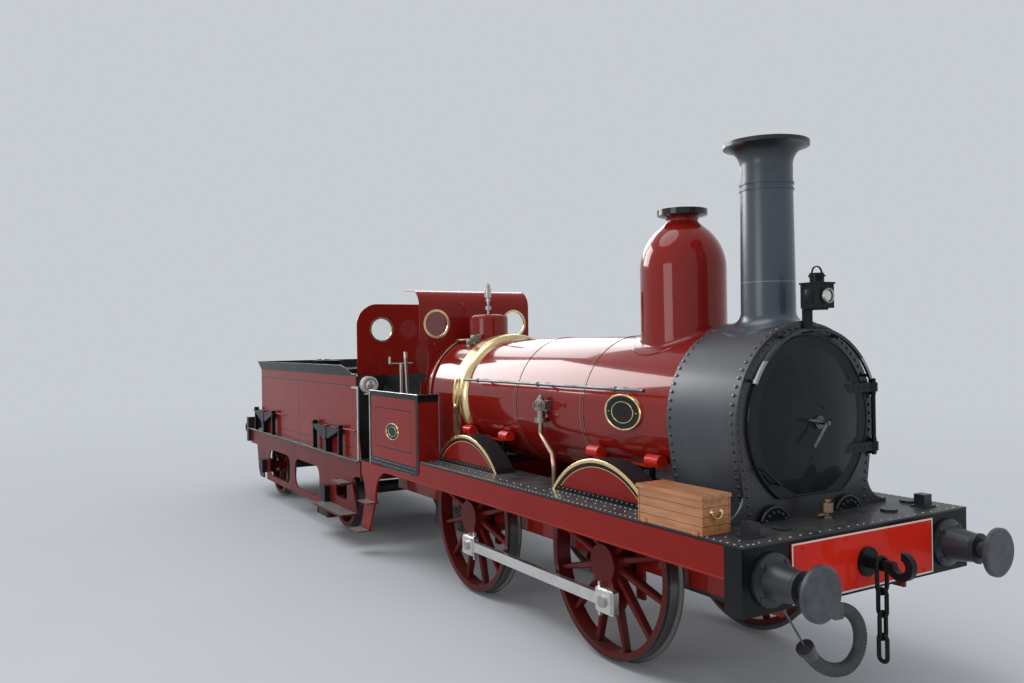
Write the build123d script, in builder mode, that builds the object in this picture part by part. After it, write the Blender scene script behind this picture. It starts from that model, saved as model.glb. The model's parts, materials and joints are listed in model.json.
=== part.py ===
# Steam locomotive of the 1860s: a four-wheeled engine with inside cylinders and its four-wheeled tender, coupled close
# and sharing one cab. Millimetres, +X forward, +Y to the engine's left, +Z up. Z = 0 is the lowest point of the wheel
# flanges, and the origin is midway between the front and rear buffer faces.
import os
from math import acos, atan2, cos, degrees, hypot, radians, sin, sqrt

from build123d import *

# Rail, wheels and axles
flange_depth = 28
back_to_back = 1360
tyre_width = 135
flange_width = 32
tyre_thickness = 62
axle_radius = 82
drive_radius = 736
drive_hub_radius = 150
drive_spokes = 12
tender_radius = 485
tender_hub_radius = 105
tender_spokes = 8
journal_radius = 62
journal_reach = 1105
coupling_throw = 275
crank_angle = 20
pin_radius = 45
pin_length = 88
rod_thickness = 50
rod_height = 92
crank_throw = 305
crank_side = 290
crank_web = 85
crank_pin_width = 110
crank_pin_radius = 80
running_clearance = 0.5

# Stations, measured backwards from the front face of the buffer beam
beam_thickness = 145
smokebox_front = 450
smokebox_length = 685
front_set = 600
clack_set = 1123
axle_set = 490
barrel_length = 3305
firebox_length = 860
panel_ahead = 760
cab_panel_length = 1340
footplate_length = 900
tender_gap = 180
tank_set_back = 240
screen_set_back = 470
tender_front_axle = 1225
tender_rear_axle = 1000
tank_length = 4480
tank_behind = 650

# Heights above the rail
buffer_height = 1010
beam_top = 1221
beam_bottom = 808
valance_bottom = 1004
boiler_centre = 1878
floor_top = 1065
panel_top = 1915
chimney_top = 3880
dome_top = 3519
cab_bend = 2880
tender_floor = 1035
tank_top = 2060
screen_top = 2975

# Across
beam_half = 1110
buffer_spacing = 1740
frame_gap = 1192
frame_thickness = 28
valance_half = 1100
sheet = 8
plate = 12
boiler_radius = 619
smokebox_radius = 690
smokebox_base_half = 600
firebox_radius = 655
cab_half = 720
tank_half = 1000
tender_half = 1100
tender_frame_half = 1050
tender_frame_thickness = 20

# Fittings
buffer_reach = 390
buffer_head_radius = 164
buffer_head_thickness = 34
door_radius = 598
door_flat = 510
door_dish = 70
hinge_out = 655
hinge_radius = 16
hinge_stand = 36
window_radius = 140
rim_width = 26
cab_window_side = 513
cab_window_height = 2680
screen_window_side = 555
screen_window_height = 2645
splash_radius = 808
chimney_back = 796
chimney_radius = 195
dome_back = 1706
dome_radius = 350
brass_width = 150

rail = flange_depth
engine_end = smokebox_front + smokebox_length + barrel_length + firebox_length + footplate_length
tender_length = tank_set_back + tank_length + tank_behind
half_length = (engine_end + tender_gap + tender_length) / 2
beam_x = half_length
smokebox_x = beam_x - smokebox_front
barrel_x = smokebox_x - smokebox_length
firebox_x = barrel_x - barrel_length
axle_rear_x = firebox_x + axle_set
axle_front_x = barrel_x - front_set
wheelbase = axle_front_x - axle_rear_x
backhead_x = firebox_x - firebox_length
panel_x = backhead_x + panel_ahead
engine_x = beam_x - engine_end
tender_x = engine_x - tender_gap
tank_x = tender_x - tank_set_back
screen_x = tender_x - screen_set_back
tender_axle_front_x = tender_x - tender_front_axle
tender_end_x = tender_x - tender_length
tender_axle_rear_x = tender_end_x + tender_rear_axle
chimney_x = beam_x - chimney_back
dome_x = beam_x - dome_back
boiler_z = rail + boiler_centre
axle_z = rail + drive_radius
tender_axle_z = rail + tender_radius
board_z = rail + beam_top + plate
floor_z = rail + floor_top
tender_floor_z = rail + tender_floor
tank_z = rail + tank_top
buffer_z = rail + buffer_height
frame_in = frame_gap / 2
frame_out = frame_in + frame_thickness
wheel_in = back_to_back / 2
wheel_out = wheel_in + tyre_width
pieces = {}


def across(y):
    """A drawing plane at y whose x is the engine's X and whose y is Z; it faces the engine's right."""
    return Plane.XZ.offset(-y)


def facing(x):
    """A drawing plane at x whose x is the engine's Y and whose y is Z; it faces forward."""
    return Plane.YZ.offset(x)


# Wheels: the two wheels of a pair and their axle are one piece, with its pins where it has cranks
def wheelset(x, z, tread, hub_radius, spokes, spoke_width, axle_end, crank_angles):
    """A pair of wheels on the axle at x, z; crank_angles holds the pins' angles on the right and on the left."""
    hub_in = wheel_in - 14
    hub_out = wheel_out + 30
    rim_in = tread - tyre_thickness
    middle = (wheel_in + wheel_out) / 2
    axle = Axis((x, 0, z), (0, 1, 0))
    with BuildPart() as spoke:
        foot = Plane(origin=(x, middle, z + hub_radius * 0.8), x_dir=(0, 1, 0), z_dir=(0, 0, 1))
        with BuildSketch(foot):
            SlotOverall(tyre_width * 0.7, spoke_width)
        with BuildSketch(foot.offset(rim_in + 8 - hub_radius * 0.8)):
            SlotOverall(tyre_width * 0.52, spoke_width * 0.7)
        loft()
    with BuildPart() as pair:
        with BuildSketch(Plane(origin=(x, 0, z), x_dir=(0, 1, 0), z_dir=(1, 0, 0))):
            with BuildLine():
                Polyline(
                    (wheel_in, rim_in),
                    (wheel_in, tread + flange_depth - 8),
                    (wheel_in + 8, tread + flange_depth),
                    (wheel_in + flange_width - 10, tread + flange_depth),
                    (wheel_in + flange_width, tread),
                    (wheel_out, tread - 5),
                    (wheel_out, rim_in),
                    close=True,
                )
            make_face()
            with Locations(((hub_in + hub_out) / 2, hub_radius / 2)):
                Rectangle(hub_out - hub_in, hub_radius)
        revolve(axis=axis_of(x, z))
        add([spoke.part.rotate(axle, 360 * (turn + 0.5) / spokes) for turn in range(spokes)])
        mirror(about=Plane.XZ)
        with BuildSketch(across(0)):
            with Locations((x, z)):
                Circle(axle_radius)
        extrude(amount=hub_in + 20, both=True)
        if axle_end > hub_out:
            with BuildSketch(across(0)):
                with Locations((x, z)):
                    Circle(journal_radius)
            extrude(amount=axle_end, both=True)
        for side, angle in zip((-1, 1), crank_angles):
            pin = crank_pin(x, z, angle)
            with BuildSketch(across(side * middle)):
                with Locations(pin):
                    Circle(pin_radius * 2.1)
                with Locations((x, z)):
                    Circle(hub_radius * 0.98)
                with Locations(((x + pin[0]) / 2, (z + pin[1]) / 2)):
                    Rectangle(pin_radius * 3.6, coupling_throw, rotation=angle)
            extrude(amount=-side * (hub_out - middle))
            with BuildSketch(across(side * hub_out)):
                with Locations(pin):
                    Circle(pin_radius)
            extrude(amount=-side * pin_length)
    return pair.part


def axis_of(x, z):
    """The axis across the engine through x, z."""
    return Axis((x, 0, z), (0, 1, 0))


def crank_pin(x, z, angle):
    """Where a crank pin lies, at this angle forward from straight down."""
    return x + coupling_throw * sin(radians(angle)), z - coupling_throw * cos(radians(angle))


quartered = (crank_angle, crank_angle + 90)
pieces["front_wheels"] = wheelset(
    axle_front_x, axle_z, drive_radius, drive_hub_radius, drive_spokes, 62, 0, quartered
)
driving_pair = wheelset(axle_rear_x, axle_z, drive_radius, drive_hub_radius, drive_spokes, 62, 0, quartered)
with BuildPart() as rear_wheels:
    add(driving_pair)
    for side, angle in zip((-1, 1), quartered):
        crank = (
            axle_rear_x - crank_throw * sin(radians(angle)),
            axle_z + crank_throw * cos(radians(angle)),
        )
        with BuildSketch(across(side * (crank_side - crank_pin_width / 2 - crank_web))):
            with Locations(((axle_rear_x + crank[0]) / 2, (axle_z + crank[1]) / 2)):
                SlotCenterToCenter(crank_throw, 200, rotation=90 + angle)
        extrude(amount=-side * (crank_pin_width + 2 * crank_web))
        with BuildSketch(across(side * (crank_side - crank_pin_width / 2))):
            with Locations((axle_rear_x, axle_z)):
                Circle(crank_throw + 200)
            with Locations(crank):
                Circle(crank_pin_radius, mode=Mode.SUBTRACT)
        extrude(amount=-side * crank_pin_width, mode=Mode.SUBTRACT)
pieces["rear_wheels"] = rear_wheels.part
pieces["tender_front_wheels"] = wheelset(
    tender_axle_front_x, tender_axle_z, tender_radius, tender_hub_radius, tender_spokes, 56, journal_reach, ()
)
pieces["tender_rear_wheels"] = wheelset(
    tender_axle_rear_x, tender_axle_z, tender_radius, tender_hub_radius, tender_spokes, 56, journal_reach, ()
)

# Coupling rods: a plain bar with a strapped big end round each crank pin, held by a cotter
rod_in = wheel_out + 30 + running_clearance * 4
for label, side, angle in (("coupling_rod_right", -1, quartered[0]), ("coupling_rod_left", 1, quartered[1])):
    front_pin = crank_pin(axle_front_x, axle_z, angle)
    rear_pin = crank_pin(axle_rear_x, axle_z, angle)
    with BuildPart() as coupling_rod:
        with BuildSketch(across(side * rod_in)):
            with Locations(((front_pin[0] + rear_pin[0]) / 2, front_pin[1])):
                Rectangle(wheelbase, rod_height)
            with Locations(front_pin, rear_pin):
                RectangleRounded(230, 190, 24)
        extrude(amount=-side * rod_thickness)
        with BuildSketch(across(side * rod_in)):
            with Locations(front_pin, rear_pin):
                RectangleRounded(190, 166, 20)
        extrude(amount=-side * (rod_thickness + 16))
        with BuildSketch(across(side * rod_in)):
            with Locations(front_pin, rear_pin):
                Circle(pin_radius + running_clearance)
        extrude(amount=-side * (rod_thickness + 20), mode=Mode.SUBTRACT)
        for end, pin in ((-1, front_pin), (1, rear_pin)):
            with Locations((pin[0] + end * 86, side * (rod_in + rod_thickness / 2), pin[1])):
                Box(22, 26, 260)
    pieces[label] = coupling_rod.part

# Main frames: two plates inside the wheels, with gaps for the axleboxes, tied by stretchers, and with the drag box's
# two jaws and the pin that the tender's drawbar turns on
frame_top = board_z - plate
frame_bottom = rail + 700
horn_half = 140
drag_x = engine_x + 188
drag_z = rail + 850
pivot_x = engine_x + 20
pivot_radius = 28
with BuildPart() as main_frames:
    with BuildSketch(across(frame_in)):
        with Locations(((beam_x - beam_thickness + engine_x) / 2, (frame_top + frame_bottom) / 2)):
            Rectangle(engine_end - beam_thickness, frame_top - frame_bottom)
        for x in (axle_front_x, axle_rear_x):
            with Locations((x, frame_bottom - 110)):
                Rectangle(2 * horn_half + 180, 240)
        for x in (axle_front_x, axle_rear_x):
            with Locations((x, (axle_z + 150) / 2)):
                Rectangle(2 * horn_half, axle_z + 150, mode=Mode.SUBTRACT)
        with Locations((engine_x, frame_top)):
            Rectangle(2 * (panel_x - engine_x), 2 * (frame_top - floor_z + plate), mode=Mode.SUBTRACT)
    extrude(amount=-frame_thickness)
    mirror(about=Plane.XZ)
    for x, low, high in (
        (axle_front_x - wheelbase / 2, frame_bottom, frame_top - 60),
        (firebox_x + 60, frame_bottom, frame_top - 60),
        (drag_x, frame_bottom, floor_z - plate),
        (engine_x + 480, frame_bottom, floor_z - plate),
    ):
        with Locations((x, 0, (low + high) / 2)):
            Box(frame_thickness, frame_gap, high - low)
    for height in (-48, 48):
        with Locations(((drag_x + engine_x - 45) / 2, 0, drag_z + height)):
            Box(drag_x - engine_x + 45, 240, 28)
    with Locations((pivot_x, 0, drag_z)):
        Cylinder(pivot_radius, 130)

# Axleboxes slide between the horns, under a leaf spring that stands on the frame
with BuildPart() as axleboxes:
    for x in (axle_front_x, axle_rear_x):
        for side in (-1, 1):
            with Locations((x, side * (frame_in + frame_thickness / 2), axle_z)):
                Box(2 * horn_half, frame_thickness, 260)
                Box(2 * horn_half - 60, frame_thickness + 60, 250)
        with BuildSketch(across(0)):
            with Locations((x, axle_z)):
                Circle(axle_radius + running_clearance)
        extrude(amount=wheel_in, both=True, mode=Mode.SUBTRACT)

# Buffer beam
beam_half_height = (beam_top - beam_bottom) / 2
beam_middle = rail + beam_bottom + beam_half_height
with BuildPart() as front_beam:
    with Locations((beam_x - beam_thickness / 2, 0, beam_middle)):
        Box(beam_thickness, 2 * beam_half, 2 * beam_half_height)
panel_thickness = 12
with BuildPart() as beam_panel:
    with Locations((beam_x + panel_thickness / 2, 0, beam_middle)):
        Box(panel_thickness, 1396, 373)


# Buffers: a flanged, tapered housing, its ram and a round head
def buffers(face, way):
    """A pair of buffers on the beam face at x, pointing forward (1) or backward (-1)."""
    with BuildPart() as pair:
        with BuildSketch(Plane.XY.offset(buffer_z)):
            with Locations((0, 0)):
                with BuildLine():
                    Polyline(
                        (face, 0),
                        (face, 165),
                        (face + way * 24, 165),
                        (face + way * 40, 120),
                        (face + way * 215, 98),
                        (face + way * 235, 98),
                        (face + way * 235, 62),
                        (face + way * (buffer_reach - buffer_head_thickness), 62),
                        (face + way * (buffer_reach - buffer_head_thickness), buffer_head_radius),
                        (face + way * (buffer_reach - 10), buffer_head_radius),
                        (face + way * buffer_reach, buffer_head_radius - 14),
                        (face + way * buffer_reach, 0),
                        close=True,
                    )
                make_face()
        revolve(axis=Axis((face, 0, buffer_z), (1, 0, 0)))
    copies = [Pos(0, side * buffer_spacing / 2, 0) * pair.part for side in (-1, 1)]
    return Compound(children=copies)


pieces["front_buffers"] = buffers(beam_x, 1)
pieces["rear_buffers"] = buffers(tender_end_x, -1)
pieces["main_frames"] = main_frames.part
pieces["axleboxes"] = axleboxes.part
pieces["front_beam"] = front_beam.part
pieces["beam_panel"] = beam_panel.part

# Running board: a riveted plate on the beam, valances and frames, open over the motion and over the wheels
board_under = board_z - plate
board_front = beam_x + 8
step_x = axle_rear_x - drive_radius - 60
slot_half_length = sqrt((splash_radius - 2 * sheet) ** 2 - (board_z - axle_z) ** 2)
with BuildPart() as running_board:
    with BuildSketch(Plane.XY.offset(board_under)):
        with Locations(((board_front + step_x) / 2, 0)):
            Rectangle(board_front - step_x, 2 * valance_half)
        with Locations(((barrel_x - 180 + step_x) / 2, 0)):
            Rectangle(barrel_x - 180 - step_x, 2 * frame_in - 40, mode=Mode.SUBTRACT)
        for side in (-1, 1):
            for x in (axle_front_x, axle_rear_x):
                with Locations((x, side * (wheel_in + wheel_out + 30) / 2)):
                    Rectangle(2 * slot_half_length, tyre_width + 62, mode=Mode.SUBTRACT)
    extrude(amount=plate)
    with Locations((step_x - plate / 2, 0, (board_z + floor_z - plate) / 2)):
        Box(plate, 2 * valance_half - 4 * plate, board_z - floor_z + plate)
    with Locations((step_x, 0, (board_z + floor_z) / 2)):
        Box(200, 2 * firebox_radius + 16, 400, mode=Mode.SUBTRACT)
    for side in (-1, 1):
        with Locations((beam_x - 170, side * 860, board_z + 6)):
            Box(120, 120, 12)
        with Locations((beam_x - 170, side * 860, board_z + 46)):
            Box(84, 84, 92)
        with BuildSketch(Plane.XY.offset(board_z)):
            with Locations((beam_x - 210, side * 535)):
                Circle(58)
        extrude(amount=16)
    with BuildSketch(Plane.XY.offset(board_z)):
        with Locations((beam_x - 330, 940)):
            Circle(72)
    extrude(amount=18)
pieces["running_board"] = running_board.part

# Cab floor, open round the firebox, with a fall plate that reaches back over the tender's floor
fall_plate = 220
with BuildPart() as cab_floor:
    with BuildSketch(Plane.XY.offset(floor_z - plate)):
        with Locations(((step_x - plate + engine_x) / 2, 0)):
            Rectangle(step_x - plate - engine_x, 2 * valance_half - 4 * plate)
        with Locations((backhead_x + 500 - 4, 0)):
            Rectangle(1000, 2 * firebox_radius + 16, mode=Mode.SUBTRACT)
        with Locations((engine_x - fall_plate / 2, 0)):
            Rectangle(fall_plate, 1200)
    extrude(amount=plate)
pieces["cab_floor"] = cab_floor.part

# Valances: deep edge plates that end behind the cab in a flared leg, with a slanted hanger and two step treads
leg_back = engine_x + 115
leg_front = engine_x + 425
leg_flare = 350
leg_bottom = rail + 640
tread_thickness = 14
upper_tread = (engine_x + 305, 280, 160, rail + 629)
lower_tread = (engine_x + 55, 280, 180, rail + 262)
with BuildPart() as valances:
    with BuildSketch(across(valance_half)):
        with BuildLine():
            Polyline(
                (leg_front + leg_flare, rail + valance_bottom),
                (beam_x - beam_thickness, rail + valance_bottom),
                (beam_x - beam_thickness, board_under),
                (step_x - plate, board_under),
                (step_x - plate, floor_z),
                (engine_x, floor_z),
                (engine_x, rail + valance_bottom - 100),
            )
            ThreePointArc(
                (engine_x, rail + valance_bottom - 100),
                (leg_back - 35, leg_bottom + 162),
                (leg_back, leg_bottom),
            )
            Line((leg_back, leg_bottom), (leg_front, leg_bottom))
            ThreePointArc(
                (leg_front, leg_bottom),
                (leg_front + 75, rail + valance_bottom - 122),
                (leg_front + leg_flare, rail + valance_bottom),
            )
        make_face()
        with BuildLine():
            Polyline(
                (leg_back, leg_bottom + 20),
                (leg_front, leg_bottom + 20),
                (lower_tread[0] + 150, lower_tread[3] - tread_thickness),
                (lower_tread[0] - 110, lower_tread[3] - tread_thickness),
                close=True,
            )
        make_face()
    extrude(amount=2 * plate)
    for middle, length, width, top in (upper_tread, lower_tread):
        with Locations((middle, valance_half - 40 + width / 2, top - tread_thickness / 2)):
            Box(length, width, tread_thickness)
    mirror(about=Plane.XZ)
pieces["valances"] = valances.part

# Splashers: a curved top and an outer face over each coupled wheel
splash_in = firebox_radius + 22
splash_out = wheel_out + 56
with BuildPart() as splashers:
    for x in (axle_front_x, axle_rear_x):
        with BuildSketch(across(splash_out)):
            with Locations((x, axle_z)):
                Circle(splash_radius)
        extrude(amount=splash_out - splash_in)
        with BuildSketch(across(splash_out - sheet)):
            with Locations((x, axle_z)):
                Circle(splash_radius - sheet)
        extrude(amount=splash_out - splash_in, mode=Mode.SUBTRACT)
    with Locations(((axle_front_x + axle_rear_x) / 2, (splash_in + splash_out) / 2, board_z - 1500)):
        Box(2 * wheelbase + 800, 600, 3000, mode=Mode.SUBTRACT)
    mirror(about=Plane.XZ)
pieces["splashers"] = splashers.part

# Smokebox: a round-topped wrapper with sloping sides on the running board, hollow, with a flat front plate
smokebox_plate = 16
wing_reach = 230
wing_height = 240
base_drop = board_z - boiler_z


def smokebox_line(radius, base_half, bottom):
    """The smokebox outline: an arc over the top with straight sides from its tangent points to the base."""
    reach = hypot(base_half, bottom - boiler_z)
    angle = atan2(bottom - boiler_z, base_half) + acos(radius / reach)
    side = (radius * cos(angle), boiler_z + radius * sin(angle))
    Line((-base_half, bottom), (-side[0], side[1]))
    ThreePointArc((-side[0], side[1]), (0, boiler_z + radius), side)
    Line(side, (base_half, bottom))
    Line((base_half, bottom), (-base_half, bottom))


smokebox_back = barrel_x
door_hole = door_radius - 40
with BuildPart() as smokebox:
    with BuildSketch(facing(smokebox_back)):
        with BuildLine():
            smokebox_line(smokebox_radius, smokebox_base_half, board_z)
        make_face()
    extrude(amount=smokebox_length)
    with BuildSketch(facing(smokebox_back + smokebox_plate)):
        with BuildLine():
            smokebox_line(
                smokebox_radius - smokebox_plate, smokebox_base_half - smokebox_plate, board_z + smokebox_plate
            )
        make_face()
    extrude(amount=smokebox_length - 2 * smokebox_plate, mode=Mode.SUBTRACT)
    with BuildSketch(facing(smokebox_x - 2 * smokebox_plate)):
        with Locations((0, boiler_z)):
            Circle(door_hole)
        with Locations((0, boiler_z - door_flat - 400 + 40)):
            Rectangle(2 * door_hole, 800, mode=Mode.SUBTRACT)
    extrude(amount=3 * smokebox_plate, mode=Mode.SUBTRACT)
    with BuildSketch(Plane.XY.offset(boiler_z)):
        with Locations((chimney_x, 0)):
            Circle(chimney_radius - 40)
    extrude(amount=smokebox_radius + 20, mode=Mode.SUBTRACT)
    for side in (-1, 1):
        with BuildSketch(facing(smokebox_x - smokebox_plate)):
            with BuildLine():
                Polyline(
                    (side * (smokebox_base_half + 20), board_z + wing_height),
                    (side * (smokebox_base_half - 10), board_z + wing_height),
                    (side * (smokebox_base_half - 10), board_z),
                    (side * (smokebox_base_half + wing_reach), board_z),
                    (side * (smokebox_base_half + wing_reach), board_z + 30),
                )
                ThreePointArc(
                    (side * (smokebox_base_half + wing_reach), board_z + 30),
                    (side * (smokebox_base_half + 0.38 * wing_reach), board_z + 0.33 * wing_height),
                    (side * (smokebox_base_half + 20), board_z + wing_height),
                )
            make_face()
        extrude(amount=smokebox_plate)
pieces["smokebox"] = smokebox.part

# Smokebox door: a dished plate with a flat foot, two hinge straps and knuckles on the left
door_gap = 0.5
hinge_x = smokebox_x + hinge_stand
hinge_heights = (-215, 215)
strap_height = 66
dish_half = door_radius - 90
grab_ends = ((-500, -290), (-352, -400))
dish_front = smokebox_x + 20 + door_dish
dish_curve = (dish_half**2 + door_dish**2) / (2 * door_dish)
with BuildPart() as smokebox_door:
    with BuildSketch(Plane.XY.offset(boiler_z)):
        with BuildLine():
            Line((smokebox_x + door_gap, 0), (smokebox_x + door_gap, door_radius))
            Line((smokebox_x + door_gap, door_radius), (smokebox_x + 20, door_radius))
            Line((smokebox_x + 20, door_radius), (smokebox_x + 20, dish_half))
            ThreePointArc(
                (smokebox_x + 20, dish_half),
                (dish_front - dish_curve + sqrt(dish_curve**2 - (dish_half / 2) ** 2), dish_half / 2),
                (dish_front, 0),
            )
            Line((dish_front, 0), (smokebox_x + door_gap, 0))
        make_face()
    revolve(axis=Axis((smokebox_x, 0, boiler_z), (1, 0, 0)))
    with Locations((smokebox_x, 0, boiler_z - door_flat - 500)):
        Box(400, 2 * door_radius, 1000, mode=Mode.SUBTRACT)
    for height in hinge_heights:
        with Locations((smokebox_x + 34, (hinge_out + 330) / 2, boiler_z + height)):
            Box(28, hinge_out - 330, strap_height)
        with Locations((hinge_x, hinge_out, boiler_z + height)):
            Cylinder(2 * hinge_radius, strap_height)
            Cylinder(hinge_radius + running_clearance, strap_height + 10, mode=Mode.SUBTRACT)
    for y, z in grab_ends:
        with BuildSketch(facing(smokebox_x + 20)):
            with Locations((y, boiler_z + z)):
                Circle(9)
        extrude(amount=46)
    grab_turn = degrees(atan2(grab_ends[1][1] - grab_ends[0][1], grab_ends[1][0] - grab_ends[0][0]))
    with BuildSketch(facing(smokebox_x + 57)):
        with Locations(
            ((grab_ends[0][0] + grab_ends[1][0]) / 2, boiler_z + (grab_ends[0][1] + grab_ends[1][1]) / 2)
        ):
            SlotOverall(205, 18, rotation=grab_turn)
    extrude(amount=18)
pieces["smokebox_door"] = smokebox_door.part

# Dart: the door's centre boss with its two handles
dart_x = dish_front
with BuildPart() as door_dart:
    with BuildSketch(facing(dart_x)):
        with Locations((0, boiler_z)):
            Circle(46)
    extrude(amount=16)
    with BuildSketch(facing(dart_x)):
        with Locations((0, boiler_z)):
            Circle(16)
    extrude(amount=92)
    for reach, turn, x in ((210, 40, 74), (150, 100, 46)):
        with Locations(Location((dart_x + x, 0, boiler_z), (-turn, 0, 0))):
            Cylinder(11, reach, align=(Align.CENTER, Align.CENTER, Align.MAX))
pieces["door_dart"] = door_dart.part

# On the front plate: the cylinder covers' tops, the hinge pin and its lugs, the arched handrail and the lamp bracket
arch_radius = 644
arch_x = smokebox_x + 70
lamp_foot_z = rail + 2660
cover_radius = 150
cover_thickness = 30
cover_y = 370
cover_z = rail + 1187
with BuildPart() as smokebox_fittings:
    with BuildSketch(facing(smokebox_x)):
        with Locations((-cover_y, cover_z), (cover_y, cover_z)):
            Circle(cover_radius)
        with Locations((0, board_z - cover_radius)):
            Rectangle(4 * cover_y, 2 * cover_radius, mode=Mode.SUBTRACT)
    extrude(amount=cover_thickness)
    with Locations((hinge_x, hinge_out, boiler_z)):
        Cylinder(hinge_radius, 2 * 215 + strap_height + 60)
    for height in hinge_heights:
        for lift in (-1, 1):
            with Locations(
                (hinge_x - 14, hinge_out + 8, boiler_z + height + lift * (strap_height / 2 + 12.5))
            ):
                Box(32, 44, 24)
    for turn in (28, 66, 114, 152):
        pillar_y, pillar_z = arch_radius * cos(radians(turn)), boiler_z + arch_radius * sin(radians(turn))
        with BuildSketch(facing(smokebox_x)):
            with Locations((pillar_y, pillar_z)):
                Circle(12)
        extrude(amount=70)
    with BuildSketch(facing(arch_x - 11)):
        with BuildLine():
            CenterArc((0, boiler_z), arch_radius + 11, 26, 128)
            CenterArc((0, boiler_z), arch_radius - 11, 26, 128)
            for turn in (26, 154):
                low, high = arch_radius - 11, arch_radius + 11
                along = (cos(radians(turn)), sin(radians(turn)))
                Line((low * along[0], boiler_z + low * along[1]), (high * along[0], boiler_z + high * along[1]))
        make_face()
    extrude(amount=22)
    with Locations((smokebox_x + 8, 0, (boiler_z + door_radius + 10 + lamp_foot_z) / 2)):
        Box(16, 90, lamp_foot_z - boiler_z - door_radius - 10)
    with Locations((smokebox_x + 75, 0, lamp_foot_z - 6)):
        Box(150, 90, 12)
pieces["smokebox_fittings"] = smokebox_fittings.part



def curved_foot(x, radius, drum_radius):
    """The top of a drum of this radius round the boiler's axis, inside an upright circle at x."""
    with BuildPart() as foot:
        with BuildSketch(Plane.XY.offset(boiler_z)):
            with Locations((x, 0)):
                Circle(radius)
        extrude(amount=2 * drum_radius)
        with BuildSketch(facing(x - 2 * radius)):
            with Locations((0, boiler_z)):
                Circle(drum_radius)
        extrude(amount=4 * radius, mode=Mode.INTERSECT)
    return foot.part


def meeting_edges(edges, x, radius):
    """Of these edges, those where an upright tube of this radius at x meets its curved foot."""
    found = []
    for edge in edges:
        middle = edge @ 0.5
        size = edge.bounding_box().size
        if abs(hypot(middle.X - x, middle.Y) - radius) < 1 and size.Z > 5 and size.Y > 50:
            found.append(edge)
    return found


# Chimney: a thin curved foot on the smokebox, a slightly tapered barrel with two beads and a flared, thin-lipped cap
chimney_foot = boiler_z + smokebox_radius
chimney_lip = rail + chimney_top
chimney_taper = 8
flue_radius = chimney_radius - 40
foot_thickness = 10
chimney_foot_radius = 340
chimney_blend = 100
chimney_lip_radius = 307
lip_thickness = 30
flare_height = 165
bead_heights = (343, 300)
bead_half = 7
smokebox_foot = curved_foot(chimney_x, chimney_foot_radius, smokebox_radius + foot_thickness)
with BuildPart() as chimney:
    neck = chimney_x + chimney_radius - chimney_taper
    with BuildSketch(across(0)):
        with BuildLine():
            Polyline(
                (chimney_x, chimney_lip - 120),
                (chimney_x, chimney_foot - 80),
                (chimney_x + chimney_radius, chimney_foot - 80),
                (chimney_x + chimney_radius, chimney_foot + 170),
                (neck, chimney_lip - bead_heights[0] - bead_half),
                (neck, chimney_lip - flare_height),
            )
            TangentArc(
                (neck, chimney_lip - flare_height),
                (chimney_x + chimney_lip_radius, chimney_lip - lip_thickness),
                tangent=(0, 1),
            )
            Polyline(
                (chimney_x + chimney_lip_radius, chimney_lip - lip_thickness),
                (chimney_x + chimney_lip_radius, chimney_lip),
                (chimney_x + chimney_lip_radius - 32, chimney_lip),
                (chimney_x + flue_radius, chimney_lip - 120),
                (chimney_x, chimney_lip - 120),
            )
        make_face()
        for height in bead_heights:
            with Locations((neck, chimney_lip - height)):
                Rectangle(2 * chimney_taper, 2 * bead_half)
    revolve(axis=Axis((chimney_x, 0, 0), (0, 0, 1)))
    add(smokebox_foot)
    fillet(meeting_edges(chimney.edges(), chimney_x, chimney_radius), radius=chimney_blend)
    with BuildSketch(facing(smokebox_back - 200)):
        with Locations((0, boiler_z)):
            Circle(smokebox_radius)
    extrude(amount=smokebox_length + 400, mode=Mode.SUBTRACT)
    with BuildSketch(Plane.XY.offset(boiler_z)):
        with Locations((chimney_x, 0)):
            Circle(flue_radius)
    extrude(amount=chimney_lip - boiler_z, mode=Mode.SUBTRACT)
pieces["chimney"] = chimney.part

# Boiler barrel with its cladding bands
with BuildPart() as barrel:
    with BuildSketch(facing(firebox_x)):
        with Locations((0, boiler_z)):
            Circle(boiler_radius)
    extrude(amount=barrel_length)
    for share in (0.353, 0.682):
        with BuildSketch(facing(barrel_x - share * barrel_length - 25)):
            with Locations((0, boiler_z)):
                Circle(boiler_radius + 4)
        extrude(amount=50)
pieces["barrel"] = barrel.part

# Dome: bottle-shaped on a thin curved foot, with a narrow neck and a bell-mouthed lip
dome_lip = rail + dome_top
dome_low = boiler_z + boiler_radius / 2
shoulder_height = 487
dome_foot_radius = 420
dome_blend = 40
lip_radius = 204
boiler_foot = curved_foot(dome_x, dome_foot_radius, boiler_radius + foot_thickness)
with BuildPart() as dome:
    with BuildSketch(across(0)):
        with BuildLine():
            Polyline(
                (dome_x, dome_lip - 60),
                (dome_x, dome_low),
                (dome_x + dome_radius, dome_low),
                (dome_x + dome_radius, dome_lip - shoulder_height),
            )
            TangentArc(
                (dome_x + dome_radius, dome_lip - shoulder_height),
                (dome_x + 204, dome_lip - 167),
                tangent=(0, 1),
            )
            Line((dome_x + 204, dome_lip - 167), (dome_x + 137, dome_lip - 109))
            ThreePointArc(
                (dome_x + 137, dome_lip - 109), (dome_x + 128, dome_lip - 89), (dome_x + 152, dome_lip - 63)
            )
            Polyline(
                (dome_x + 152, dome_lip - 63),
                (dome_x + lip_radius, dome_lip - 47),
                (dome_x + lip_radius, dome_lip),
                (dome_x + lip_radius - 34, dome_lip),
                (dome_x + 100, dome_lip - 60),
                (dome_x, dome_lip - 60),
            )
        make_face()
    revolve(axis=Axis((dome_x, 0, 0), (0, 0, 1)))
    add(boiler_foot)
    fillet(meeting_edges(dome.edges(), dome_x, dome_radius), radius=dome_blend)
    with BuildSketch(facing(dome_x - 600)):
        with Locations((0, boiler_z)):
            Circle(boiler_radius)
    extrude(amount=1200, mode=Mode.SUBTRACT)
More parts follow.
